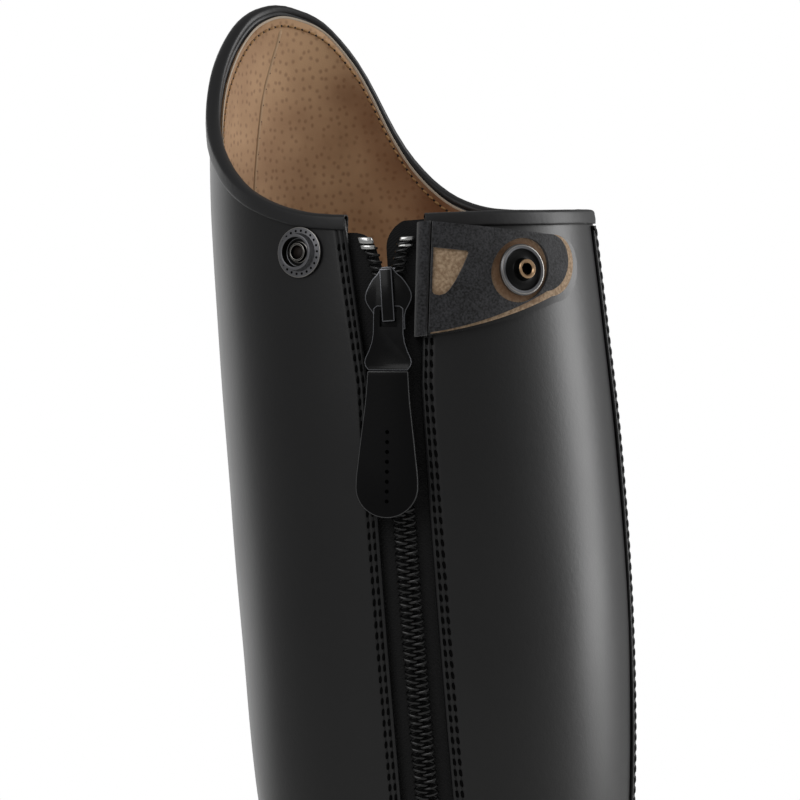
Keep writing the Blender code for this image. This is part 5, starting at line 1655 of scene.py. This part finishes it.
# Snap stud: the other half of the snap, riveted through the tab.
# A dished flange with a rolled lip, and a hollow post whose mouth is rolled over bare brass.
STUD_HEIGHT = SNAP_HEIGHT + SNAP_PLATE
stud_profile = [
    (SNAP_BORE, 0.0), (SNAP_FLANGE, 0.0), (SNAP_FLANGE + 0.0002, SNAP_PLATE * 1.4),
    (SNAP_FLANGE - 0.0003, SNAP_PLATE * 2.1), (SNAP_FLANGE - 0.0012, SNAP_PLATE * 1.9),
    (SNAP_FLANGE - 0.0017, SNAP_PLATE * 1.3), (SNAP_TUBE + 0.0016, SNAP_PLATE * 1.25),
    (SNAP_TUBE + 0.0004, SNAP_PLATE * 1.6), (SNAP_TUBE, SNAP_HEIGHT * 0.8),
    (SNAP_TUBE, STUD_HEIGHT - 0.0003), (SNAP_TUBE - 0.0004, STUD_HEIGHT),
    (SNAP_BORE + 0.0004, STUD_HEIGHT), (SNAP_BORE, STUD_HEIGHT - 0.0004),
]
brass_edge = spotted_metal("rolled_brass_edge", "#c9a783", 0.25)
bm = turned_piece(stud_profile)
# The post's rolled mouth takes the brass. Painted shade: the dish and the post take the near-black finish,
# and the flange's lower rim loses its painted highlight.
for face in bm.faces:
    radius, height = ring_place(face)
    if height > STUD_HEIGHT - 0.00035 and SNAP_BORE + 0.0001 < radius < SNAP_TUBE - 0.0001:
        face.material_index = 3
    elif radius < SNAP_FLANGE - 0.0014 and height > 0.0:
        face.material_index = 2
    elif face.material_index == 1 and height < SNAP_PLATE:
        face.material_index = 0
stud_point, stud_normal = tab_frame(STUD_ALONG, STUD_DROP)
stud_base = stud_point + stud_normal * (TAB_LINING_TOP + GAP)
stud = snap_part("snap_stud_turned", bm, stud_base, stud_normal, "snap_stud")
stud.data.materials.append(brass_edge)

# Brass deep in the post, painted a dull dark brown as painted shade.
rivet_painted_shade, _, _ = new_material(
    "rivet_brass_painted_shade", Base_Color=linear("#2a140a"), Roughness=0.5, Metallic=0.6
)
rivet = snap_ground("snap_stud_rivet", SNAP_BORE + 0.0001, 0.0006, stud_base, stud_normal, rivet_painted_shade)
fit(rivet, "black_metal")

# Heel counter: a stiffened cap of calf over the heel, skived at its edge and sewn down once.
# The spur rest is a little ledge of stacked leather on it.
COUNTER_THICKNESS = 0.0011
COUNTER_TURN = math.radians(49)
COUNTER_LOW, COUNTER_HIGH, COUNTER_FALL = 0.06, 6.3, 3.4
COUNTER_STITCH_BELOW = 0.22
SPUR_REST_DEPTH, SPUR_REST_HEIGHT, SPUR_REST_DROP = 0.0040, 0.0060, 0.0120
SPUR_REACH = math.radians(38)


def counter_top(turn):
    """The level of the counter's upper edge, highest at the back."""
    return COUNTER_HIGH - COUNTER_FALL * (turn / COUNTER_TURN) ** 2


def counter_place(a, b, out):
    turn = mix(-COUNTER_TURN, COUNTER_TURN, a)
    return raised(turn, mix(COUNTER_LOW, counter_top(turn), b), out)


bm = slab(64, 40, counter_place, GAP / 3, GAP + COUNTER_THICKNESS, rounding=0.0005)
fit(make_piece("heel_counter_calf", bm, box_calf), "black_leather", "heel_counter")
path = []
for k in range(121):
    turn = mix(-COUNTER_TURN, COUNTER_TURN, mix(0.02, 0.98, k / 120))
    point, normal, _, _ = skin_frame(turn, counter_top(turn) - COUNTER_STITCH_BELOW)
    path.append((point + normal * (GAP + COUNTER_THICKNESS), normal))
bm = bmesh.new()
sew(bm, path, BLACK_PITCH, BLACK_STITCH, BLACK_THREAD, slant=BLACK_SLANT)
fit(make_piece("heel_counter_stitches", bm, black_thread), "black_leather")


def layered_leather(name, dark, light, layer):
    """Stacked sole leather: pressed layers, edge-dyed and waxed, so that each joint shows as a fine line."""
    made, tree, shader = new_material(name, IOR=1.5, Coat_Weight=0.25, Coat_Roughness=0.25)
    place = add_node(tree, "ShaderNodeTexCoord", {}).outputs["Object"]
    bands = add_node(
        tree, "ShaderNodeTexWave", {"Scale": 0.314 / layer, "Distortion": 0.4, "bands_direction": "Z"},
        [(place, "Vector")],
    )
    ramp = add_node(tree, "ShaderNodeValToRGB", {}, [(bands.outputs["Fac"], "Fac")])
    ramp.color_ramp.elements[0].position, ramp.color_ramp.elements[1].position = 0.02, 0.16
    ramp.color_ramp.elements[0].color, ramp.color_ramp.elements[1].color = linear(dark), linear(light)
    grain = add_node(tree, "ShaderNodeTexNoise", {"Scale": 260.0, "Detail": 5.0}, [(place, "Vector")])
    rough = add_node(
        tree, "ShaderNodeMapRange", {"To Min": 0.28, "To Max": 0.5}, [(grain.outputs["Fac"], "Value")]
    )
    groove = add_node(
        tree, "ShaderNodeBump", {"Strength": 0.6, "Distance": 0.0001}, [(ramp.outputs["Color"], "Height")]
    )
    tree.links.new(ramp.outputs["Color"], shader.inputs["Base Color"])
    tree.links.new(rough.outputs["Result"], shader.inputs["Roughness"])
    tree.links.new(groove.outputs["Normal"], shader.inputs["Normal"])
    return made


stacked_leather = layered_leather("stacked_leather_black", "#050505", "#141312", 0.0033)
spur_top = skin(0.0, COUNTER_HIGH).z - SPUR_REST_DROP


def spur_place(a, b, share):
    turn = mix(-SPUR_REACH, SPUR_REACH, a)
    level = back_level(mix(spur_top - SPUR_REST_HEIGHT, spur_top, b))
    swell = max(math.cos(math.pi / 2 * turn / SPUR_REACH), 0.0) ** 0.7 * mix(0.55, 1.0, b)
    return raised(turn, level, GAP + COUNTER_THICKNESS + share * (0.0008 + SPUR_REST_DEPTH * swell))


bm = slab(48, 6, spur_place, 0.0, 1.0, rounding=0.0004)
fit(make_piece("spur_rest_stacked", bm, stacked_leather), "heel_leather", "spur_rest")

# Sole: a rubber outsole with a fine tread, a welt that the forefoot is sewn to, and a leather insole.
# The welt's stitches show round the forefoot, and the insole is pigskin like the lining.
WELT_THICKNESS = 0.003
WELT_EDGE, HEEL_EDGE = 0.0055, 0.0012
WELT_STITCH_ACROSS, WELT_STITCH_PITCH = 0.62, 0.0042
INSOLE_THICKNESS = 0.0025
CROWDING = 0.22
SOLE_ROWS = 96


def column_turn(share):
    """The turn of a column round the sole, crowded a little towards the sides of the foot."""
    turn = 2 * math.pi * share
    return turn + CROWDING / 2 * math.sin(2 * turn)


def outline_point(turn, margin):
    """A point of the feather line moved out level by a margin."""
    along = (foot_point(turn + 0.01, 0.0) - foot_point(turn - 0.01, 0.0)).normalized()
    return foot_point(turn, 0.0) + Vector((-along.y, along.x, 0.0)).normalized() * margin


def sole_margin(turn):
    """The sole stands out little at the heel and as a welt round the forefoot."""
    return mix(HEEL_EDGE, WELT_EDGE, ease(0.22, 0.42, (1 - math.cos(turn)) / 2))


def sole_place(across, along, height, inside=None):
    """A point between the sole's outer and inner edge, at a height over the sole's bottom line."""
    turn = column_turn(along / 2)
    margin = sole_margin(turn) if inside is None else -inside
    point = outline_point(turn, margin).lerp(outline_point(2 * math.pi - turn, margin), across)
    return Vector((point.x, point.y, lift(point.y) + height))


def moulded_rubber(name, code, tread):
    """Moulded rubber: a dull black skin, with a fine ribbed tread where it meets the ground."""
    made, tree, shader = new_material(name, Base_Color=linear(code), Roughness=0.7, IOR=1.52)
    place = add_node(tree, "ShaderNodeTexCoord", {}).outputs["Object"]
    ribs = add_node(
        tree, "ShaderNodeTexWave", {"Scale": 0.314 / tread, "bands_direction": "Y"}, [(place, "Vector")]
    )
    dust = add_node(tree, "ShaderNodeTexNoise", {"Scale": 500.0, "Detail": 4.0}, [(place, "Vector")])
    facing = add_node(tree, "ShaderNodeNewGeometry", {})
    down = add_node(tree, "ShaderNodeSeparateXYZ", {}, [(facing.outputs["True Normal"], "Vector")])
    under = add_node(
        tree, "ShaderNodeMath", {"operation": "LESS_THAN", 1: -0.8}, [(down.outputs["Z"], 0)]
    )
    height = add_node(
        tree, "ShaderNodeMath", {"operation": "MULTIPLY"},
        [(ribs.outputs["Fac"], 0), (under.outputs["Value"], 1)],
    )
    first = add_node(
        tree, "ShaderNodeBump", {"Strength": 0.9, "Distance": 0.0006}, [(height.outputs["Value"], "Height")]
    )
    second = add_node(
        tree, "ShaderNodeBump", {"Strength": 0.4, "Distance": 0.00005},
        [(dust.outputs["Fac"], "Height"), (first.outputs["Normal"], "Normal")],
    )
    tree.links.new(second.outputs["Normal"], shader.inputs["Normal"])
    return made


sole_rubber = moulded_rubber("moulded_rubber_black", "#0e0e0e", 0.003)
bm = slab(12, SOLE_ROWS, sole_place, 0.0, SOLE_THICKNESS, rounding=0.0008)
fit(make_piece("outsole_rubber", bm, sole_rubber), "sole_rubber", "outsole")


def insole_place(across, along, height):
    return sole_place(across, along, SOLE_THICKNESS + GAP + height, WALL + 2 * GAP)


bm = slab(
    12, SOLE_ROWS, insole_place, 0.0, INSOLE_THICKNESS, rounding=0.0004,
    measure=lambda a, b: (a * 0.08, b * LAST_LENGTH),
)
fit(make_piece("insole_pigskin", bm, pigskin_material), "tan_leather", "insole")


def welt_place(across, along, height):
    turn = column_turn(mix(1 / 6, 5 / 6, along))
    point = outline_point(turn, mix(2 * GAP, sole_margin(turn), across))
    return Vector((point.x, point.y, lift(point.y) + SOLE_THICKNESS + height))


bm = slab(4, 160, welt_place, GAP / 3, GAP + WELT_THICKNESS, rounding=0.0006)
fit(make_piece("welt_calf", bm, stacked_leather), "black_leather", "welt")
path = []
for k in range(241):
    point = welt_place(WELT_STITCH_ACROSS, mix(0.01, 0.99, k / 240), GAP + WELT_THICKNESS)
    path.append((point, Vector((0.0, 0.0, 1.0))))
bm = bmesh.new()
sew(bm, path, WELT_STITCH_PITCH, length=0.0032, thickness=0.0009, slant=0.1)
fit(make_piece("welt_stitches", bm, black_thread), "black_leather")

# Heel: a stack of leather lifts, edge-dressed in black, with a rubber top piece.
# It tapers to the floor and its front is hollowed a little.
TOP_PIECE_THICKNESS = 0.006
HEEL_TAPER = 0.0025
HEEL_HOLLOW = 0.0045
HEEL_SHARE = 0.262
HEEL_BREAST_TURN = math.acos(1 - 2 * HEEL_SHARE)


def heel_place(across, along, height):
    turn = HEEL_BREAST_TURN * along
    taper = HEEL_TAPER * (1 - height / HEEL_HEIGHT)
    outer = outline_point(turn, HEEL_EDGE - taper)
    point = outer.lerp(outline_point(2 * math.pi - turn, HEEL_EDGE - taper), across)
    hollow = HEEL_HOLLOW * math.sin(math.pi * across) * along**4
    return Vector((point.x, point.y - hollow - taper * along**2, height))


bm = slab(20, 40, heel_place, TOP_PIECE_THICKNESS + GAP / 3, HEEL_HEIGHT - GAP / 3, rounding=0.0003)
fit(make_piece("heel_stack_leather", bm, stacked_leather), "heel_leather", "heel_stack")
bm = slab(20, 40, heel_place, 0.0, TOP_PIECE_THICKNESS, rounding=0.0006)
fit(make_piece("heel_top_piece_rubber", bm, sole_rubber), "sole_rubber", "heel_top_piece")

# Stage: a pale floor, two soft lights beyond the boot's sides and one above the camera.
# The camera is at the photograph's angle, behind the top of the leg and a little to the inner side.
FRAME_WIDTH = 0.2353
SENSOR_WIDTH = 36.0
CAMERA_DISTANCE = 1.5
CAMERA_AZIMUTH = math.radians(6.5)
CAMERA_ELEVATION = math.radians(3.0)
CAMERA_ROLL = math.radians(4.1)
ZIP_TOP_ACROSS = 0.0047
ZIP_TOP_UP = 0.0544
LIGHT_AIM = Vector((0.0, 0.0, 0.33))


def way_to(angle, rise):
    """The direction from the boot to a place at an angle round it, from its back, and a rise."""
    return Vector((math.sin(angle) * math.cos(rise), -math.cos(angle) * math.cos(rise), math.sin(rise)))


toward = way_to(CAMERA_AZIMUTH, CAMERA_ELEVATION)
level_right = Vector((math.cos(CAMERA_AZIMUTH), math.sin(CAMERA_AZIMUTH), 0.0))
level_up = toward.cross(level_right)
camera_up = level_up * math.cos(CAMERA_ROLL) + level_right * math.sin(CAMERA_ROLL)
camera_right = level_right * math.cos(CAMERA_ROLL) - level_up * math.sin(CAMERA_ROLL)
zip_top = Vector((0.0, skin(0.0, ANKLE_ROW + 1).y, BACK_HEIGHT))
aim = zip_top + camera_right * ZIP_TOP_ACROSS - camera_up * ZIP_TOP_UP
turned = Matrix((camera_right, camera_up, toward)).transposed().to_4x4()
camera_data = bpy.data.cameras.new("camera")
camera_data.sensor_width = SENSOR_WIDTH
camera_data.lens = SENSOR_WIDTH * CAMERA_DISTANCE / FRAME_WIDTH
camera = bpy.data.objects.new("camera", camera_data)
camera.matrix_world = Matrix.Translation(aim + toward * CAMERA_DISTANCE) @ turned
bpy.context.scene.collection.objects.link(camera)
bpy.context.scene.camera = camera

# Matte paint, pale grey: it throws light back up and has no shine of its own.
bm = bmesh.new()
bmesh.ops.create_grid(bm, x_segments=1, y_segments=1, size=1.2)
floor_material, _, _ = new_material("painted_floor", Roughness=0.7, Base_Color=linear("#e4e4e2"))
floor = make_piece("floor", bm, floor_material)


def soft_light(name, azimuth, elevation, distance, width, height, power):
    """A rectangular soft light that looks at the middle of the leg."""
    data = bpy.data.lights.new(name, "AREA")
    data.shape = "RECTANGLE"
    data.size, data.size_y, data.energy = width, height, power
    lamp = bpy.data.objects.new(name, data)
    way = way_to(math.radians(azimuth), math.radians(elevation))
    facing = way.to_track_quat("Z", "Y").to_matrix().to_4x4()
    lamp.matrix_world = Matrix.Translation(LIGHT_AIM + way * distance) @ facing
    bpy.context.scene.collection.objects.link(lamp)


soft_light("left_far", -140, 5, distance=1.6, width=1.2, height=1.6, power=6)
soft_light("right_side", 112, 5, distance=1.6, width=0.6, height=1.6, power=19)
soft_light("front_fill", -20, 35, distance=2.2, width=1.4, height=1.4, power=10)

# The boot is lit by a grey sky, and the camera sees a white one.

world = bpy.data.worlds.new("studio")
world.use_nodes = True
sky = world.node_tree
seen = add_node(sky, "ShaderNodeLightPath", {}).outputs["Is Camera Ray"]
shade = add_node(
    sky, "ShaderNodeMix", {"data_type": "RGBA", 6: (0.25, 0.25, 0.25, 1.0), 7: (1.0, 1.0, 1.0, 1.0)},
    [(seen, "Factor")],
)
sky.links.new(shade.outputs[2], sky.nodes["Background"].inputs["Color"])
bpy.context.scene.world = world
bpy.context.scene.view_settings.view_transform = "Standard"
